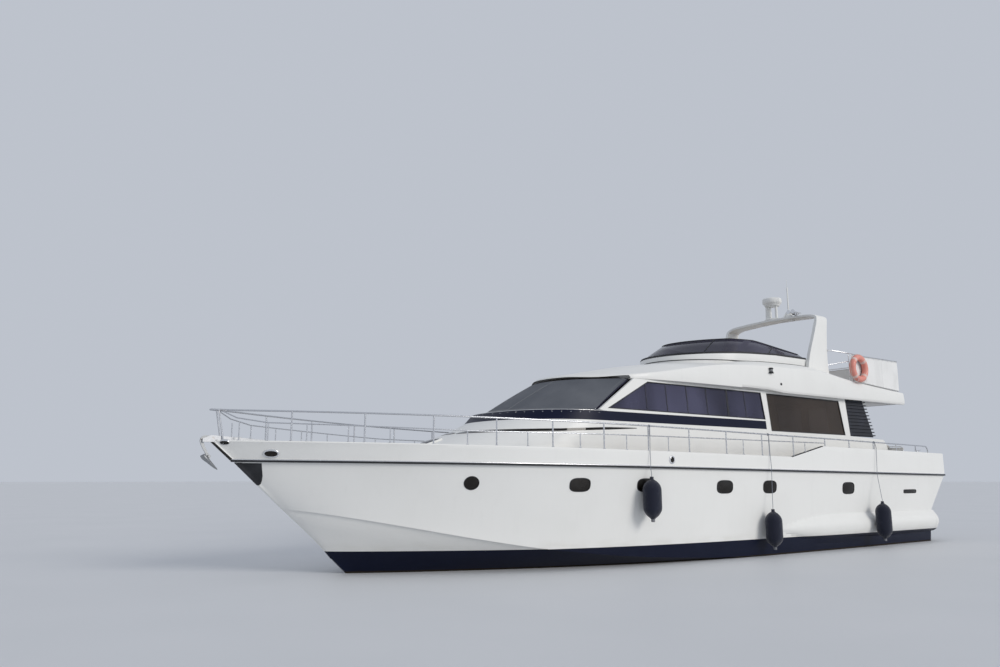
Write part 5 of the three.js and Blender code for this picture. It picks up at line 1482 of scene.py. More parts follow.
def stuffed_shape(size, swell):
    """The mesh of a filled cushion of this size round the origin. Cushions of one size share it."""
    if size in stuffed_shapes:
        return stuffed_shapes[size]
    cover = placed("cover", rounded_box([length - 2 * SLACK for length in size], 0.026))
    remesh = cover.modifiers.new("even mesh", "REMESH")
    remesh.mode = "VOXEL"
    remesh.voxel_size = 0.016
    settle(cover)
    start = places_of(cover.data)
    filling = cover.modifiers.new("filling", "CLOTH")
    filling.settings.quality = 4
    filling.settings.use_pressure = True
    filling.settings.uniform_pressure_force = 4
    filling.settings.effector_weights.gravity = 0
    filling.collision_settings.use_collision = False
    for step in range(1, 21):
        bpy.context.scene.frame_set(step)
    settle(cover)
    bpy.context.scene.frame_set(1)
    moved = places_of(cover.data) - start
    far = np.linalg.norm(moved, axis=1)[:, None]
    places = start + moved * np.minimum(1, swell / np.maximum(far, 1e-9))
    cover.data.vertices.foreach_set("co", places.ravel())
    crease(cover.data, 80)
    bpy.context.view_layer.update()
    stuffed_shapes[size] = cover
    cover.hide_render = True
    return cover


def coated_cloth(name, light, dull, grain=900):
    """Coated seat cloth: fine pebble grain, faint soiling and a dull sheen."""
    finish = Finish(name, "upholstery", Sheen_Weight=0.12, Specular_IOR_Level=0.4)
    soil = finish.noise(5, 5)
    finish.paint(soil.ramp(0.35, 0.8), light, dull, Roughness=0.5 + soil * 0.15)
    pebble = finish.node("TexVoronoi", {}, {"Vector": finish.place, "Scale": grain / 4})
    return finish.bump(pebble + finish.noise(9, 3) * 6, 0.0009)


cream_cloth = coated_cloth("cream_cloth", (0.7, 0.67, 0.6), (0.6, 0.57, 0.5))
welt_cloth = coated_cloth("welt_cloth", (0.045, 0.055, 0.1), (0.06, 0.07, 0.11))


def cushion(name, low, high, welts, swell, finish):
    """A filled cushion between two corners. Its two welts are added to the form that is passed in."""
    size = tuple(round(b - a, 3) for a, b in zip(low, high))
    middle = Vector((a + b) / 2 for a, b in zip(low, high))
    shape = stuffed_shape(size, swell)
    piece = placed(name, shape.data.copy())
    piece.location = middle
    piece.data.materials.clear()
    piece.data.materials.append(finish.material)
    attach(piece, "boat")
    thin = size.index(min(size))
    first, second = (k for k in range(3) if k != thin)
    for face in (-1, 1):
        loop = []
        for c, s in squared(9, 72):
            aim = Vector((0, 0, 0))
            aim[thin] = face * (size[thin] / 2 - 0.026)
            start = aim.copy()
            start[first], start[second] = c * size[first], s * size[second]
            found, place, way, _ = shape.ray_cast(start, (aim - start).normalized())
            if found:
                loop.append(middle + place + way * 0.0015)
        welts.tube(loop, 0.0045, 6, loop=True)


def row_of(count, low, high, axis):
    """Splits the box between two corners into a row of boxes along one axis, 6 mm apart."""
    gap = 0.006
    step = (high[axis] - low[axis] + gap) / count
    for k in range(count):
        a, b = list(low), list(high)
        a[axis] = low[axis] + k * step
        b[axis] = a[axis] + step - gap
        yield k, a, b


def seating(name, node, plinths, rows, plinth_finish=deck_gelcoat, cloth=cream_cloth):
    """A seat: its plinths, its rows of cushions as (label, count, two corners, axis), and their welts."""
    base = Form()
    for low, high in plinths:
        base.block(low, high)
    base.piece(name + "_plinth", plinth_finish, edge=0.014, replaces=node, slot="gelcoat")
    welts = Form()
    for label, count, low, high, axis in rows:
        swell = SWELL["back" if label == "back" else "seat"]
        for k, a, b in row_of(count, low, high, axis):
            cushion(f"{name}_{label}_{k + 1}", a, b, welts, swell, cloth)
    welts.piece(name + "_welts", welt_cloth, sharp=80)


plinth_foot = FLY_FLOOR + 0.0003
seating("fly_helm_seat", "fly_helm_seat",
        [((-3.88, 0.12, plinth_foot), (-3.37, 1.13, 4.455)), ((-3.99, 0.11, 4.2), (-3.965, 1.14, 4.92))],
        [("seat", 2, (-3.855, 0.1, 4.46), (-3.345, 1.15, 4.58), 1),
         ("back", 2, (-3.96, 0.1, 4.5), (-3.86, 1.15, 4.95), 1)])
seating("fly_sofa", "fly_sofa",
        [((-7.24, -1.4, plinth_foot), (-4.91, -0.87, 4.395)),
         ((-5.49, -0.88, plinth_foot), (-4.92, 0.18, 4.395)),
         ((-7.25, -1.43, plinth_foot), (-4.9, -1.405, 4.83))],
        [("seat", 3, (-7.25, -1.275, 4.4), (-5.51, -0.845, 4.52), 0),
         ("turn", 2, (-5.5, -1.275, 4.4), (-4.9, 0.2, 4.52), 1),
         ("back", 3, (-7.25, -1.4, 4.5), (-4.9, -1.28, 4.86), 0)])
dress("cockpit_bench", deck_gelcoat, 0.02)
seating("cockpit_seat", "cockpit_cushion",
        [((-9.22, -1.37, 2.3335), (-8.77, 1.37, 2.339)), ((-9.335, -1.37, 2.334), (-9.32, 1.37, 2.7))],
        [("seat", 3, (-9.215, -1.38, 2.34), (-8.76, 1.38, 2.435), 1),
         ("back", 3, (-9.32, -1.38, 2.42), (-9.21, 1.38, 2.755), 1)])
seating("helm_chair", "helm_seat",
        [((0.21, -0.98, 2.575), (0.74, -0.42, 2.605)), ((0.1, -0.98, 2.62), (0.118, -0.42, 3.27))],
        [("seat", 1, (0.2, -1.0, 2.61), (0.75, -0.4, 2.73), 1),
         ("back", 1, (0.12, -1.0, 2.68), (0.22, -0.4, 3.3), 1)], dash_leather)
chair_post = Form().turned([(0.2, 0), (0.2, 0.012), (0.075, 0.02), (0.06, 0.04), (0.06, 0.5)],
                           (0.45, -0.7, deck_height(0.45) + 0.001))
chair_post.piece("helm_chair_post", polished_steel, sharp=50)
saloon_cloth = cotton("saloon_cloth", (0.42, 0.36, 0.28), (0.34, 0.29, 0.22), 260)
seating("saloon_sofa", "saloon_sofa",
        [((-5.89, 0.92, 1.99), (-3.31, 1.64, 2.275)), ((-5.9, 1.635, 1.99), (-3.3, 1.66, 2.8))],
        [("seat", 3, (-5.9, 0.9, 2.28), (-3.3, 1.49, 2.418), 0),
         ("back", 3, (-5.9, 1.495, 2.4), (-3.3, 1.63, 2.818), 0)], dash_leather, saloon_cloth)


# Flybridge rail: bent steel tube from the arch round the aft end, on posts with bolted flanges. A white
# cloth dodger is laced outside it, and a lifebuoy hangs on that in a bracket.
def bent(route, radius=0.1, steps=7):
    """The route with each corner bent to a round of about the radius."""
    route = [Vector(point) for point in route]
    line = [route[0]]
    for a, b, c in zip(route, route[1:], route[2:]):
        reach = min(radius, (a - b).length / 2.1, (c - b).length / 2.1)
        first, last = b + (a - b).normalized() * reach, b + (c - b).normalized() * reach
        shares = [((1 - t) ** 2, 2 * t * (1 - t), t * t) for t in np.linspace(0, 1, steps)]
        line += [first * before + b * at + last * past for before, at, past in shares]
    return [*line, route[-1]]


FLANGE = [(0.04, 0), (0.04, 0.005), (0.03, 0.009), (0.019, 0.014)]
side_y, aft_x, rail_top = 1.88, -9.24, 5.2  # the fly rail's half breadth, its aft end and its height
fly_rails = Form()
rail_route = [(-6.06, 1.6, 5.292), (-6.2, 1.68, 5.29), (-6.65, side_y, 5.23), (-7.3, side_y, rail_top),
              (aft_x + 0.02, side_y, rail_top), (aft_x, 1.8, rail_top), (aft_x, 0, rail_top)]
fly_rails.tube(bent(both_sides(rail_route), 0.2, 9), 0.016)
for side in (-1, 1):
    fly_rails.turned(FLANGE, (-6.066, side * 1.6, 5.292), (-1, 0, 0), 20)
    fly_rails.tube([(-6.03, side * 1.6, 4.87), (-6.65, side * side_y, 5.0)], 0.011)
    posts = [(x, side * side_y, COAMING(x)[0] - 0.004) for x in (-6.65, -7.3, -8.3, -9.0)]
    for x, y, foot in [*posts, (aft_x, side * 0.8, ROOF_AFT_TOP)]:
        fly_rails.tube([(x, y, foot), (x, y, rail_top)], 0.014)
        fly_rails.turned(FLANGE, (x, y, foot), sides=20)
fly_rails.piece("fly_rail_tubes", polished_steel, sharp=60, replaces="fly_rail")


def dodger_line(step=0.05):
    """The dodger's plan, from the port front round the stern, as even points with the way outwards."""
    half, aft = 1.918, -9.278
    corner = [(aft + 0.19 * (1 - cos(a)), half - 0.19 * (1 - sin(a))) for a in np.linspace(pi / 2, 0, 12)]
    plan = [(-6.72, half), (-9.05, half), *corner[1:], (aft, 1.2), (aft, 0)]
    plan += [(x, -y) for x, y in reversed(plan[:-1])]
    ways = distances(plan)
    marks = np.linspace(0, ways[-1], round(ways[-1] / step) + 1)
    line = np.stack([np.interp(marks, ways, [p[k] for p in plan]) for k in (0, 1)], axis=1)
    along = np.gradient(line, axis=0)
    along /= np.linalg.norm(along, axis=1)[:, None]
    return marks, line, np.stack([along[:, 1], -along[:, 0]], axis=1)


dodger_marks, dodger_plan, dodger_out = dodger_line()
DODGER_HIGH, LACE_PITCH = 5.168, 0.25


def dodger_point(k, t, out=0.0):
    """A point on the cloth. It pulls up to each eyelet and puckers in the folds between."""
    s = dodger_marks[k]
    scallop = 0.01 * (1 - abs(cos(pi * s / LACE_PITCH)))
    pucker = 0.005 * sin(2 * pi * s / LACE_PITCH) * (2 * t - 1) ** 2
    pucker += 0.008 * sin(s * 2.3 + t * 2) * sin(pi * t)
    low = COAMING(max(dodger_plan[k][0], -9.0))[0] + 0.045
    x, y = dodger_plan[k] + dodger_out[k] * (pucker + out)
    return x, y, low + (DODGER_HIGH - scallop - low) * t


def dodger_line_at(t, out=0.0):
    return [dodger_point(k, t, out) for k in range(len(dodger_marks))]


def dodger_cloth():
    """White acrylic canvas with panels sewn every metre or so, soft stains and a visible weave."""
    finish = Finish("dodger_cloth", "dodger_cloth", Roughness=0.82, Sheen_Weight=0.15)
    seam = abs(finish.x % 0.92 - 0.46).ramp(0.452, 0.457)
    weave = abs((finish.x + finish.y) * 300 % 1 - 0.5) + abs(finish.z * 300 % 1 - 0.5)
    damp = finish.noise(2.2, 5, (1, 1, 0.5))
    cloth = finish.mix(damp.ramp(0.4, 0.8), (0.8, 0.8, 0.79), (0.7, 0.7, 0.69))
    finish.paint(seam * 0.45, cloth, (0.4, 0.4, 0.4))
    return finish.bump(weave + seam * 2, 0.0008)


dodger = Form().cloth(*([dodger_line_at(t, out) for t in np.linspace(0, 1, 15)] for out in (-0.0015, 0.0015)))
dodger = dodger.piece("dodger_canvas", dodger_cloth(), sharp=70, replaces="dodger")
edging = Form().tube(dodger_line_at(0.012), 0.006, 6).tube(dodger_line_at(0.985), 0.006, 6)
lacing = Form()
for k in range(3, len(dodger_marks) - 3, 5):
    eyelet = Vector(dodger_point(k, 0.985)) + Vector((0, 0, 0.016))
    inward, up = Vector((*-dodger_out[k], 0)), Vector((0, 0, 0.036))
    ring = [eyelet + inward * (0.022 + 0.036 * cos(a)) + up * sin(a) for a in turns(16)]
    lacing.tube(ring, 0.003, 6, loop=True)
white_tape = cotton("dodger_tape", (0.7, 0.7, 0.69), (0.6, 0.6, 0.59))
hem_tape = edging.piece("dodger_hem", white_tape, sharp=80, slot="dodger_cloth")
lace = lacing.piece("dodger_lacing", white_tape, sharp=80, slot="dodger_cloth")


def lifebuoy_plastic():
    """Orange plastic, faded by the sun, with four pale reflective bands."""
    finish = Finish("lifebuoy_plastic", "orange_plastic", Coat_Weight=0.1)
    middle_x, _, middle_z = BUOY_MIDDLE
    band = 1 - abs(abs(finish.x - middle_x) - abs(finish.z - middle_z)).ramp(0.052, 0.056)
    fade = finish.noise(7, 4)
    orange = finish.mix(fade, (0.68, 0.21, 0.16), (0.78, 0.34, 0.28))
    finish.paint(band, orange, (0.72, 0.52, 0.47), Roughness=0.45 + fade * 0.2)
    return finish.bump(finish.noise(60, 3) + band, 0.0012)


BUOY_MIDDLE = (-6.9, 2.02, 4.8)


def buoy_loop(count, start, radius_at):
    """Points round the lifebuoy's middle, at the radius that each angle has."""
    spokes = [(radius_at(a), a + start) for a in turns(count)]
    return [Vector(BUOY_MIDDLE) + Vector((cos(a) * radius, 0, sin(a) * radius)) for radius, a in spokes]


buoy = Form().tube(buoy_loop(72, 0, lambda a: 0.31), 0.085, 24, loop=True)
buoy.piece("lifebuoy_ring", lifebuoy_plastic(), sharp=80, replaces="lifebuoy")
grab = buoy_loop(96, pi / 4, lambda a: 0.395 + 0.035 * abs(sin(2 * a + pi / 2)))


def rope(name, light, dark, twist=0.02):
    """Laid rope: strands slant round it, and it is darker between them."""
    finish = Finish(name, "fender_cloth", Roughness=0.85)
    strand = abs((finish.x + finish.y * 0.7 + finish.z) / twist % 1 - 0.5)
    finish.paint(strand * 1.4 + finish.noise(30, 3) * 0.3, light, dark)
    return finish.bump(1 - strand, 0.002)


white_rope = rope("white_rope", (0.62, 0.6, 0.55), (0.4, 0.38, 0.34))
Form().tube(grab, 0.005, 8, loop=True).piece("lifebuoy_line", white_rope, sharp=80, slot="orange_plastic")
bracket = Form()
for x in (-7.1, -6.7):
    hook = [(x, 1.88, 5.222), (x, 1.938, 5.215), (x, 1.94, 4.42), (x, 2.105, 4.42), (x, 2.112, 4.5)]
    bracket.tube(bent(hook, 0.03), 0.006, 8)
bracket.piece("lifebuoy_bracket", polished_steel, sharp=60)


# Side rails: one bright tube on stanchions from the pulpit to the quarters, with a thinner middle rail. The
# stanchions stand in flanges on the bulwark's cap, and a short one props the middle rail between each pair.
def rail_side(x):
    return max(half_breadth(x, "cap") - 0.05, 0.024)


def top_rail(x):
    return 2.8 + 0.0145 * x


def middle_rail(x):
    return 2.625 + 0.03 * max(x - 6, 0)


STANCHIONS = [9.04, 7.89, 6.73, 5.57, 4.42, 3.24, 2.08, 0.86, -0.36, -1.63, -2.83]
QUARTER_POSTS = [-4.15, -5.24, -6.41, -7.6, -8.7]
SHORT_POSTS = [9.82, 9.39, 8.8, 8.15, 7.47, 6.12, 4.95, 3.81, 2.67, 1.5, -0.95, -1.89, -3.3]
rail_steel = steel("rail_steel", (0.62, 0.63, 0.655), 0.2)
rail_flange = [(0.034, -0.003), (0.034, 0.004), (0.026, 0.008), (0.016, 0.012)]
for name, side in SIDES.items():
    rails = Form()
    top = [(10.28, 0.024, top_rail(10.28)), (10.12, 0.075, top_rail(10.12))]
    top += [(x, rail_side(x), top_rail(x)) for x in np.arange(9.8, -9.3, -0.3)]
    top += [(x, rail_side(x), z) for x, z in [(-9.33, 2.66), (-9.4, 2.58), (-9.42, cap_height(-9.42))]]
    rails.tube([(x, side * y, z) for x, y, z in bent(top, 0.08, 5)], 0.016)
    middle = [(10.08, 0.09, 2.92), (9.86, rail_side(9.86), 2.81)]
    middle += [(x, rail_side(x), middle_rail(x)) for x in [*np.arange(9.4, -4.1, -0.3), -4.15]]
    rails.tube([(x, side * y, z) for x, y, z in middle], 0.011)
    tall = [(x, top_rail(x), 0.015) for x in STANCHIONS + QUARTER_POSTS]
    for x, high, thick in tall + [(x, middle_rail(x), 0.0105) for x in SHORT_POSTS]:
        y, foot = side * rail_side(x), cap_height(x) - 0.004
        rails.tube([(x, y, foot), (x, y, high)], thick)
        rails.turned(rail_flange, (x, y, foot + 0.004), sides=18)
    rails.tube([(10.04, side * 0.08, 2.36), (10.15, side * 0.072, top_rail(10.15))], 0.014)
    rails.piece(f"side_rail_tubes_{name}", rail_steel, sharp=60, replaces=f"side_rail_{name}")


# Bow gear: a galvanised anchor in a welded steel roller, an electric windlass that hauls its chain, and
# mooring cleats with rounded horns bolted through the deck. The forepeak has a moulded lid on hinges.
def galvanised():
    """Hot-dip zinc: a dull mottled grey with rust where the chain and the sea bed rub it."""
    finish = Finish("galvanised_steel", "galvanised_steel", Metallic=0.85)
    spangle = finish.noise(55, 2)
    rub = finish.noise(16, 5).ramp(0.6, 0.78)
    zinc = finish.mix(spangle, (0.3, 0.31, 0.32), (0.44, 0.45, 0.46))
    finish.paint(rub * 0.7, zinc, (0.16, 0.075, 0.035), Roughness=0.5 + rub * 0.3)
    return finish.bump(finish.noise(90, 4), 0.0015)


zinc = galvanised()
dress("bow_roller", steel("brushed_steel", (0.5, 0.51, 0.53), 0.45), 0.003)


def anchor_form():
    """A forged shank that hooks over the roller, with a pointed fluke whose two wings turn up at the heel."""
    shank = [(9.7, 2.462), (10.25, 2.462), (10.34, 2.474), (10.385, 2.45), (10.4, 2.4), (10.36, 2.3),
             (10.28, 2.16), (10.24, 2.1)]
    route = bent([(x, 0, z) for x, z in shank], 0.04, 4)
    depth = faired([(9.7, 0.016), (10.2, 0.018), (10.42, 0.028)])
    across = Vector((0, 0.013, 0))
    rings = []
    for before, point, after in neighbours(route):
        up = (after - before).normalized().cross(Vector((0, 1, 0))) * float(depth(point.x)[0])
        rings.append([point + across - up, point + across + up, point - across + up, point - across - up])
    form = Form().skin(rings)
    heel, tip, front = Vector((10.335, 0, 2.17)), Vector((10.1, 0, 1.905)), Vector((0.75, 0, -0.665))
    rings = []
    for t in np.linspace(0, 1, 14):
        half = 0.15 * (1 - t**1.6) ** 0.8 * (0.86 + 0.14 * sin(pi * min(t * 2.2, 1))) + 0.003
        middle = heel + (tip - heel) * t
        bowed = [(s, 0.05 * (half / 0.15) * s * s) for s in np.linspace(-1, 1, 11)]
        face, back = ([middle + Vector((0, half * s, 0)) + front * (bow - thick) for s, bow in bowed]
                      for thick in (0, 0.014))
        rings.append(face + back[::-1])
    form.skin(rings)
    crown = [(0.0, -0.075), (0.022, -0.075), (0.024, -0.07), (0.024, 0.07), (0.022, 0.075), (0, 0.075)]
    return form.turned(crown, (10.265, 0, 2.135), (0, 1, 0), 20)


anchor_form().piece("anchor_forging", zinc, edge=0.003, sharp=40, replaces="anchor")
WINDLASS = {"x": 8.475, "z": deck_height(8.5)}
shell = [(1.04, -0.04), (1.04, 0.008), (0.97, 0.012), (0.95, 0.05), (0.9, 0.11), (0.78, 0.138), (0.4, 0.146),
         (0.01, 0.147)]
windlass = Form().skin([[(WINDLASS["x"] + 0.185 * c * share, 0.155 * s * share, WINDLASS["z"] + z)
                         for c, s in squared(4, 48)] for share, z in shell])
drum = [(0.0, -0.26), (0.066, -0.26), (0.075, -0.25), (0.066, -0.238), (0.048, -0.21), (0.05, -0.185),
        (0.072, -0.168), (0.045, -0.165), (0.045, 0.165), (0.072, 0.168), (0.075, 0.18), (0.055, 0.198),
        (0.055, 0.212), (0.075, 0.23), (0.075, 0.255), (0.03, 0.26)]
windlass.turned(drum, (WINDLASS["x"] - 0.005, 0, WINDLASS["z"] + 0.11), (0, 1, 0))
windlass_steel = steel("windlass_steel", (0.5, 0.51, 0.53), 0.24)
windlass.piece("windlass_drum_and_case", windlass_steel, sharp=42, replaces="windlass")


def chain_form(start, end, link=0.058):
    """A chain hauled straight between two points. Every other link stands on edge."""
    way = (end - start).normalized()
    up = Vector((0, 0, 1))
    form = Form()
    for k in range(int((end - start).length / link)):
        middle = start + way * (k + 0.5) * link
        flat = up if k % 2 else way.cross(up).normalized()
        ring = [middle + way * (cos(a) * 0.018 + (0.018 if cos(a) > 0 else -0.018)) + flat * sin(a) * 0.018
                for a in turns(14)]
        form.tube(ring, 0.0055, 6, loop=True)
    return form


chain = chain_form(Vector((8.56, 0.215, WINDLASS["z"] + 0.13)), Vector((9.66, 0.0, 2.462)))
chain.piece("anchor_chain", zinc, sharp=80)


def cleat(form, place, turn=0.0):
    """A cleat with two horns on two feet, turned by an angle from the boat's length."""
    place, way = Vector(place), Vector((cos(turn), sin(turn), 0))
    horns = [(-0.15, 0.062), (-0.11, 0.056), (-0.05, 0.05), (0, 0.05), (0.05, 0.05), (0.11, 0.056),
             (0.15, 0.062)]
    form.tube([place + way * s + Vector((0, 0, z)) for s, z in horns], 0.011, 10)
    foot = [(0.03, 0), (0.03, 0.004), (0.014, 0.012), (0.012, 0.03), (0.014, 0.05)]
    for s in (-0.045, 0.045):
        form.turned(foot, place + way * s, sides=16)


cleats = Form()
for side in (-1, 1):
    for x in (8.35, 1.4, -4.6):
        on_foredeck = x > 2
        y = side * (rail_side(x) - (0.26 if on_foredeck else 0.12))
        cleat(cleats, (x, y, deck_height(x) - 0.002), radians(-18 * side) if on_foredeck else 0)
    cleat(cleats, (-8.95, side * 2.4, cap_height(-8.95)))
cleats.piece("mooring_cleats", polished_steel, sharp=60)


def box_corners(node):
    """The lowest and the highest corner of the box round a CAD piece."""
    return [Vector(corner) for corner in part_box(node)]


def ring_pull(form, place):
    """A round pull that lies flush in a lid."""
    form.turned([(0.034, 0), (0.034, 0.004), (0.028, 0.006), (0.026, 0.002), (0, 0.002)], place, sides=28)


lid_gelcoat = gelcoat("lid_gelcoat")
dress("fore_hatch", lid_gelcoat, 0.012)
low, high = box_corners("fore_hatch")
lid_fittings = Form()
for y in (-0.2, 0.2):
    lid_fittings.block((high.x - 0.07, y - 0.03, high.z - 0.004), (high.x - 0.012, y + 0.03, high.z + 0.004))
    lid_fittings.tube([(high.x - 0.01, y - 0.034, high.z), (high.x - 0.01, y + 0.034, high.z)], 0.006, 8)
ring_pull(lid_fittings, (low.x + 0.09, 0, high.z))
lid_fittings.piece("fore_hatch_fittings", polished_steel, body="fore_hatch", edge=0.002)


# Cockpit: a bench moulded across the stern, a teak table on a steel leg, gates at the head of the stairs,
# the engine room's lid flush in the sole and a ladder up to the flybridge.
def table_ring(cut, z):
    return [(-8.275 + c * (0.325 - cut), s * (0.65 - cut), z) for c, s in squared(7, 64)]


table = Form().skin([table_ring(*step) for step in [(0.012, 2.643), (0, 2.651), (0, 2.675), (0.01, 2.683)]])
table_foot = deck_height(-8.275) + 0.001
table_leg = [(0.18, 0), (0.18, 0.006), (0.172, 0.014), (0.07, 0.022), (0.052, 0.05), (0.05, 0.6),
             (0.09, 0.63), (0.12, 0.66), (0.12, 2.643 - table_foot)]
table.turned(table_leg, (-8.275, 0, table_foot), coat=1)
table_teak = teak("table_teak", across="x", pitch=0.13)
table.piece("cockpit_table_top_and_leg", [table_teak, polished_steel], sharp=40, replaces="cockpit_table")
for name, side in SIDES.items():
    dress(f"stair_gate_{name}", lid_gelcoat, 0.009)
    low, high = box_corners(f"stair_gate_{name}")
    hinge_y, latch_y = (low.y, high.y - 0.06) if side > 0 else (high.y, low.y + 0.06)
    gate = Form()
    for z in (low.z + 0.1, high.z - 0.1):
        gate.block((low.x - 0.003, hinge_y - 0.03 * (side < 0), z - 0.03),
                   (high.x + 0.003, hinge_y + 0.03 * (side > 0), z + 0.03))
    z = high.z - 0.12
    latch_end = (high.x + 0.024, latch_y - side * 0.06, z)
    gate.tube([(high.x, latch_y, z), (high.x + 0.022, latch_y, z), latch_end], 0.007, 8)
    y0, y1, out, over = low.y + 0.05, high.y - 0.05, low.x + 0.016, high.z + 0.03
    handle = [(low.x, y0, high.z - 0.004), (out, y0, over), (out, y1, over), (low.x, y1, high.z - 0.004)]
    gate.tube(bent(handle, 0.02), 0.009, 8)
    gate.piece(f"stair_gate_fittings_{name}", polished_steel, body=f"stair_gate_{name}", edge=0.002, sharp=60)
dress("engine_hatch", teak("hatch_teak"), 0.003)
pulls = Form()
low, high = box_corners("engine_hatch")
for y in (-0.25, 0.25):
    pull = [(0.036, -0.01), (0.036, 0.003), (0.03, 0.004), (0.028, 0.001), (0, 0.001)]
    pulls.turned(pull, (low.x + 0.09, y, high.z), sides=28)
pulls.piece("engine_hatch_pulls", polished_steel, body="engine_hatch")
dress("fly_ladder", steel("ladder_steel", (0.58, 0.59, 0.61), 0.24), 0.004)
treads = Form()
low, high = box_corners("fly_ladder")
for k in range(1, 7):
    x, z = -8.09 + 0.55 * k / 7, low.z + (high.z - low.z) * k / 7 + 0.0162
    treads.block((x - 0.1, -1.36, z), (x + 0.1, -0.9, z + 0.008))
treads.piece("ladder_teak", teak_deck, edge=0.002)
dress("fly_hatch", lid_gelcoat, 0.008)
low, high = box_corners("fly_hatch")
lid = Form()
for y in (low.y + 0.12, high.y - 0.12):
    lid.block((high.x - 0.06, y - 0.03, high.z - 0.004), (high.x - 0.008, y + 0.03, high.z + 0.003))
x, y, over = low.x + 0.06, (low.y + high.y) / 2, high.z + 0.028
handle = [(x, y - 0.09, high.z), (x, y - 0.09, over), (x, y + 0.09, over), (x, y + 0.09, high.z)]
lid.tube(bent(handle, 0.02), 0.006, 8)
lid.piece("fly_hatch_fittings", polished_steel, body="fly_hatch", edge=0.002, sharp=60)


# Engines: cast iron blocks in grey engine enamel, which stand on the hull under the cockpit. They are closed
# in and aren't seen.
enamel = Finish("engine_enamel")
oil = enamel.noise(7, 5)
enamel.paint(oil.ramp(0.45, 0.8), (0.26, 0.28, 0.28), (0.07, 0.065, 0.055))
enamel.set(Roughness=0.35 + oil * 0.25).bump(enamel.noise(120, 3), 0.002)
for name in SIDES:
    dress(f"engine_{name}", enamel, 0.03)


# Running gear: cast bronze propellers with four raked blades on steel shafts, each shaft held by a bronze
# bracket, and balanced bronze rudders on stocks through the hull.
def cast_bronze():
    """Cast bronze, brown from the sea with brighter rubbed edges and a green bloom in the hollows."""
    finish = Finish("sea_bronze", "bronze", Metallic=0.9)
    bloom = finish.noise(9, 5)
    worn = finish.mix(bloom.ramp(0.3, 0.7), (0.36, 0.22, 0.09), (0.2, 0.13, 0.065))
    finish.paint(bloom.ramp(0.66, 0.85) * 0.5, worn, (0.09, 0.17, 0.13))
    return finish.set(Roughness=0.34 + bloom * 0.3).bump(finish.noise(130, 3), 0.0008)


sea_bronze = cast_bronze()
SHAFT = {"slope": 0.13, "half_span": 0.95, "x": -7.75, "z": -1.01, "radius": 0.032, "start": -3.6}
BLADE = faired([  # columns: radius, half chord, pitch angle, thickness
    (0.04, 0.06, 0.95, 0.026), (0.16, 0.13, 0.75, 0.02), (0.28, 0.14, 0.55, 0.014),
    (0.35, 0.09, 0.45, 0.009), (0.37, 0.055, 0.42, 0.007),
])


def blade_rings():
    """One blade that stands up from the shaft's line, as closed foil sections."""
    rings = []
    for radius in [*np.linspace(0.04, 0.35, 18), 0.36, 0.367, 0.37]:
        chord, pitch, thick = BLADE(radius)
        ring = []
        for a in turns(20):
            along, across = chord * cos(a), thick / 2 * sin(a) * (1 + 0.3 * cos(a))
            ahead = along * sin(pitch) + across * cos(pitch)
            ring.append((ahead, along * cos(pitch) - across * sin(pitch), radius))
        rings.append(ring)
    return rings


def propeller(name, side):
    lean = atan(SHAFT["slope"])
    middle = Vector((SHAFT["x"], side * SHAFT["half_span"], SHAFT["z"]))
    way = Vector((cos(lean), 0, sin(lean)))
    up, across = Vector((-sin(lean), 0, cos(lean))), Vector((0, 1, 0))
    form = Form()
    blade = blade_rings()
    for a in turns(4):
        ahead, beside = across * cos(a) + up * sin(a), up * cos(a) - across * sin(a)
        form.skin([[middle + way * x + ahead * y + beside * z for x, y, z in ring] for ring in blade])
    hub = [(0.03, 0.12), (0.07, 0.1), (0.078, 0.06), (0.074, -0.06), (0.066, -0.085), (0.05, -0.1),
           (0.045, -0.105), (0.05, -0.108), (0.03, -0.145), (0, -0.155)]
    form.turned(hub, middle, way)
    reach = (SHAFT["start"] - SHAFT["x"]) / cos(lean)
    form.turned([(0.028, 0), (SHAFT["radius"], 0.01), (SHAFT["radius"], reach)], middle, way, 24, coat=1)
    body = f"propeller_{name}"
    form.piece(body + "_and_shaft", [sea_bronze, polished_steel], body=body, sharp=40, replaces=body)


def rudder(name, side):
    """A foil that tapers down from the hull, on a stock."""
    x0, y0 = -8.5, side * SHAFT["half_span"]
    top, deep = -0.66, 0.63
    rings = []
    for z in [-0.658, *np.linspace(-0.665, -1.27, 10), -1.284, -1.29]:
        t = (top - z) / deep
        front, aft = 0.15 - 0.02 * t, 0.36 - 0.06 * t
        thick = (0.042 - 0.008 * t) * (0.88 if z < -1.28 else 1)
        port = []
        for u in np.linspace(0, 1, 14):
            half = 2.97 * thick / 2 * (sqrt(u) - 0.35 * u - 0.62 * u**2) * 0.95
            port.append((x0 + front - (front + aft) * u, max(half, 0.0015)))
        outline = port + [(x, -half) for x, half in port[-2:0:-1]]
        rings.append([(x, y0 + y, z) for x, y in outline])
    form = Form().skin(rings)
    form.turned([(0.035, -0.9), (0.035, -0.25)], (x0, y0, 0), sides=24, coat=1)
    form.turned([(0.05, top), (0.055, -0.655), (0.05, -0.6), (0.036, -0.59)], (x0, y0, 0), sides=24)
    body = f"rudder_{name}"
    form.piece(body + "_foil", [sea_bronze, polished_steel], body=body, sharp=45, replaces=body)


for name, side in SIDES.items():
    propeller(name, side)
    rudder(name, side)
    dress(f"shaft_bracket_{name}", sea_bronze, 0.006)


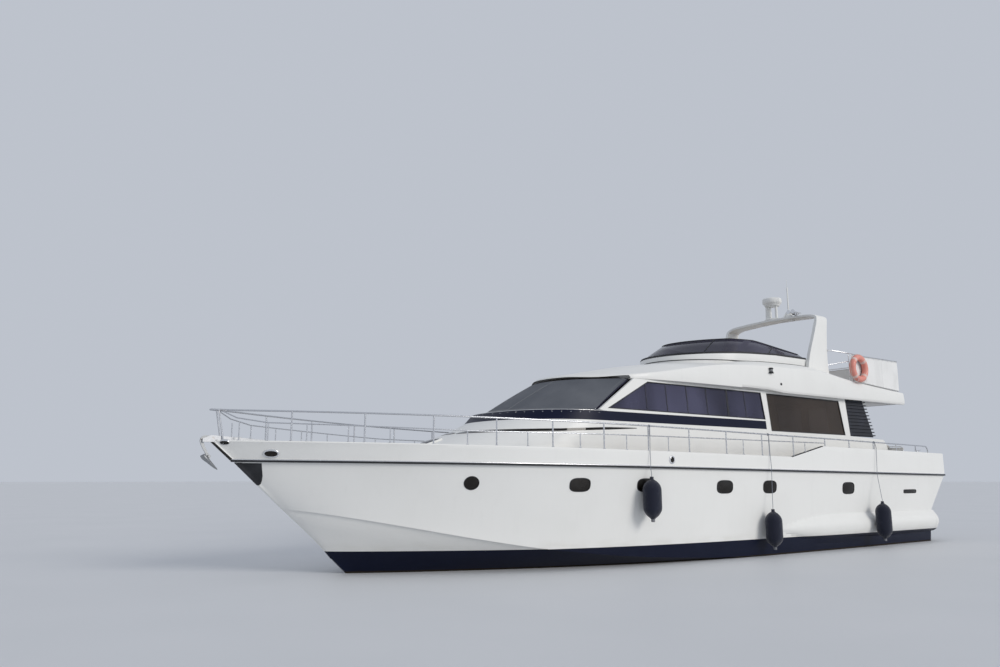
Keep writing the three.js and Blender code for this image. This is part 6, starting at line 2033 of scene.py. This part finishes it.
# Fenders: three air-filled vinyl fenders in navy knitted covers on the port side. Each hangs on a laid rope
# that bends over the rub rail and the cap, and is hitched round the top rail.
def knitted():
    """A ribbed knit, closed by a draw cord at both ends, with salt and rubbed patches."""
    finish = Finish("fender_knit", "fender_cloth", Roughness=0.92, Sheen_Weight=0.35, Sheen_Roughness=0.4)
    angle = finish.node("Math", {"operation": "ARCTAN2"}, {0: finish.y, 1: finish.x})
    rib = abs(angle * 13 % 1 - 0.5)
    row = abs(finish.z * 150 % 1 - 0.5)
    salt = finish.noise(11, 5)
    navy = finish.mix(rib * 0.8 + row * 0.4, (0.004, 0.006, 0.018), (0.011, 0.015, 0.036))
    finish.paint(salt.ramp(0.55, 0.85) * 0.35, navy, (0.06, 0.068, 0.1))
    return finish.bump(rib + row * 0.6 + salt * 2, 0.004)


FENDERS = {  # x, top and length of the body, how far it stands off the bulwark, x of its hitch on the rail
    "forward": (2.17, 1.79, 0.9, 0.1, 2.05),
    "middle": (-1.685, 1.06, 0.9, 0.105, -1.87),
    "aft": (-6.13, 1.17, 1.0, 0.23, -6.45),
}
FENDER_FOOT = [  # radius and height over the lower end
    (0, 0), (0.03, 0.004), (0.036, 0.03), (0.034, 0.055), (0.044, 0.066), (0.078, 0.09), (0.11, 0.118),
    (0.139, 0.15), (0.162, 0.185), (0.178, 0.218), (0.187, 0.25), (0.19, 0.29),
]
FENDER_HEAD = [  # radius and depth under the upper end
    (0.19, 0.28), (0.189, 0.255), (0.183, 0.22), (0.172, 0.185), (0.152, 0.148), (0.124, 0.115),
    (0.09, 0.085), (0.06, 0.068), (0.044, 0.058), (0.035, 0.048), (0.036, 0.026), (0.03, 0.004), (0, 0),
]
fender_knit = knitted()
eye_vinyl = satin_plastic("eye_vinyl", (0.012, 0.014, 0.03))
pale_vinyl = satin_plastic("pale_vinyl", (0.16, 0.165, 0.18))
grey_rope = rope("grey_rope", (0.3, 0.32, 0.37), (0.15, 0.165, 0.2), 0.016)
for name, (x, top, length, stand_off, hitch) in FENDERS.items():
    y = half_breadth(x, "cap") + stand_off
    profile = [(radius, rise - length) for radius, rise in FENDER_FOOT]
    profile += [(radius, -drop) for radius, drop in FENDER_HEAD]
    fender = Form().turned(profile, (0, 0, 0), sides=40)
    fender = fender.piece(f"fender_{name}_cover", fender_knit, sharp=70, replaces=f"fender_{name}")
    fender.location = (x, y, top)
    gathers = Form()
    for z in (top - 0.06, top - length + 0.066):
        ring = [(x + cos(a) * 0.047, y + sin(a) * 0.047, z) for a in turns(24)]
        gathers.tube(ring, 0.0055, 8, loop=True)
    for z, coat in ((top - 0.03, 0), (top - length + 0.03, 1)):
        ring = [(0.037, -0.03), (0.039, -0.015), (0.039, 0.015), (0.037, 0.03)]
        gathers.turned(ring, (x, y, z), sides=20, coat=coat)
    gathers.piece(f"fender_{name}_eyes", [eye_vinyl, pale_vinyl], sharp=60, slot="fender_cloth")
    out = bulwark_point(x, 0)[1] + 0.062
    rail_y, rail_z = rail_side(hitch), top_rail(hitch)
    cap_y, cap_z, joint_z = half_breadth(x, "cap"), cap_height(x), joint_height(x)
    line = [(x, y, top - 0.02)]
    for line_y, z in [(y, top + 0.03), (out, joint_z - 0.02), (out, joint_z + 0.05),
                      (cap_y + 0.022, cap_z - 0.01), (cap_y + 0.018, cap_z + 0.03), (rail_y + 0.022, rail_z)]:
        line.append((x + (hitch - x) * (z - top) / (rail_z - top), line_y, z))
    lanyard = Form().tube(bent(line, 0.05, 5), 0.006, 10)
    for shift in (-0.007, 0.007):
        loop = [(hitch + shift + 0.006 * sin(a), rail_y + 0.0225 * cos(a), rail_z + 0.0225 * sin(a))
                for a in turns(20)]
        lanyard.tube(loop, 0.006, 8, loop=True)
    tail = [(hitch + 0.012, rail_y + 0.03, rail_z - 0.02), (hitch + 0.03, rail_y + 0.034, rail_z - 0.1),
            (hitch + 0.022, rail_y + 0.03, rail_z - 0.2)]
    lanyard.tube(bent(tail, 0.04), 0.006, 8)
    lanyard.piece(f"fender_{name}_rope", grey_rope, sharp=80)
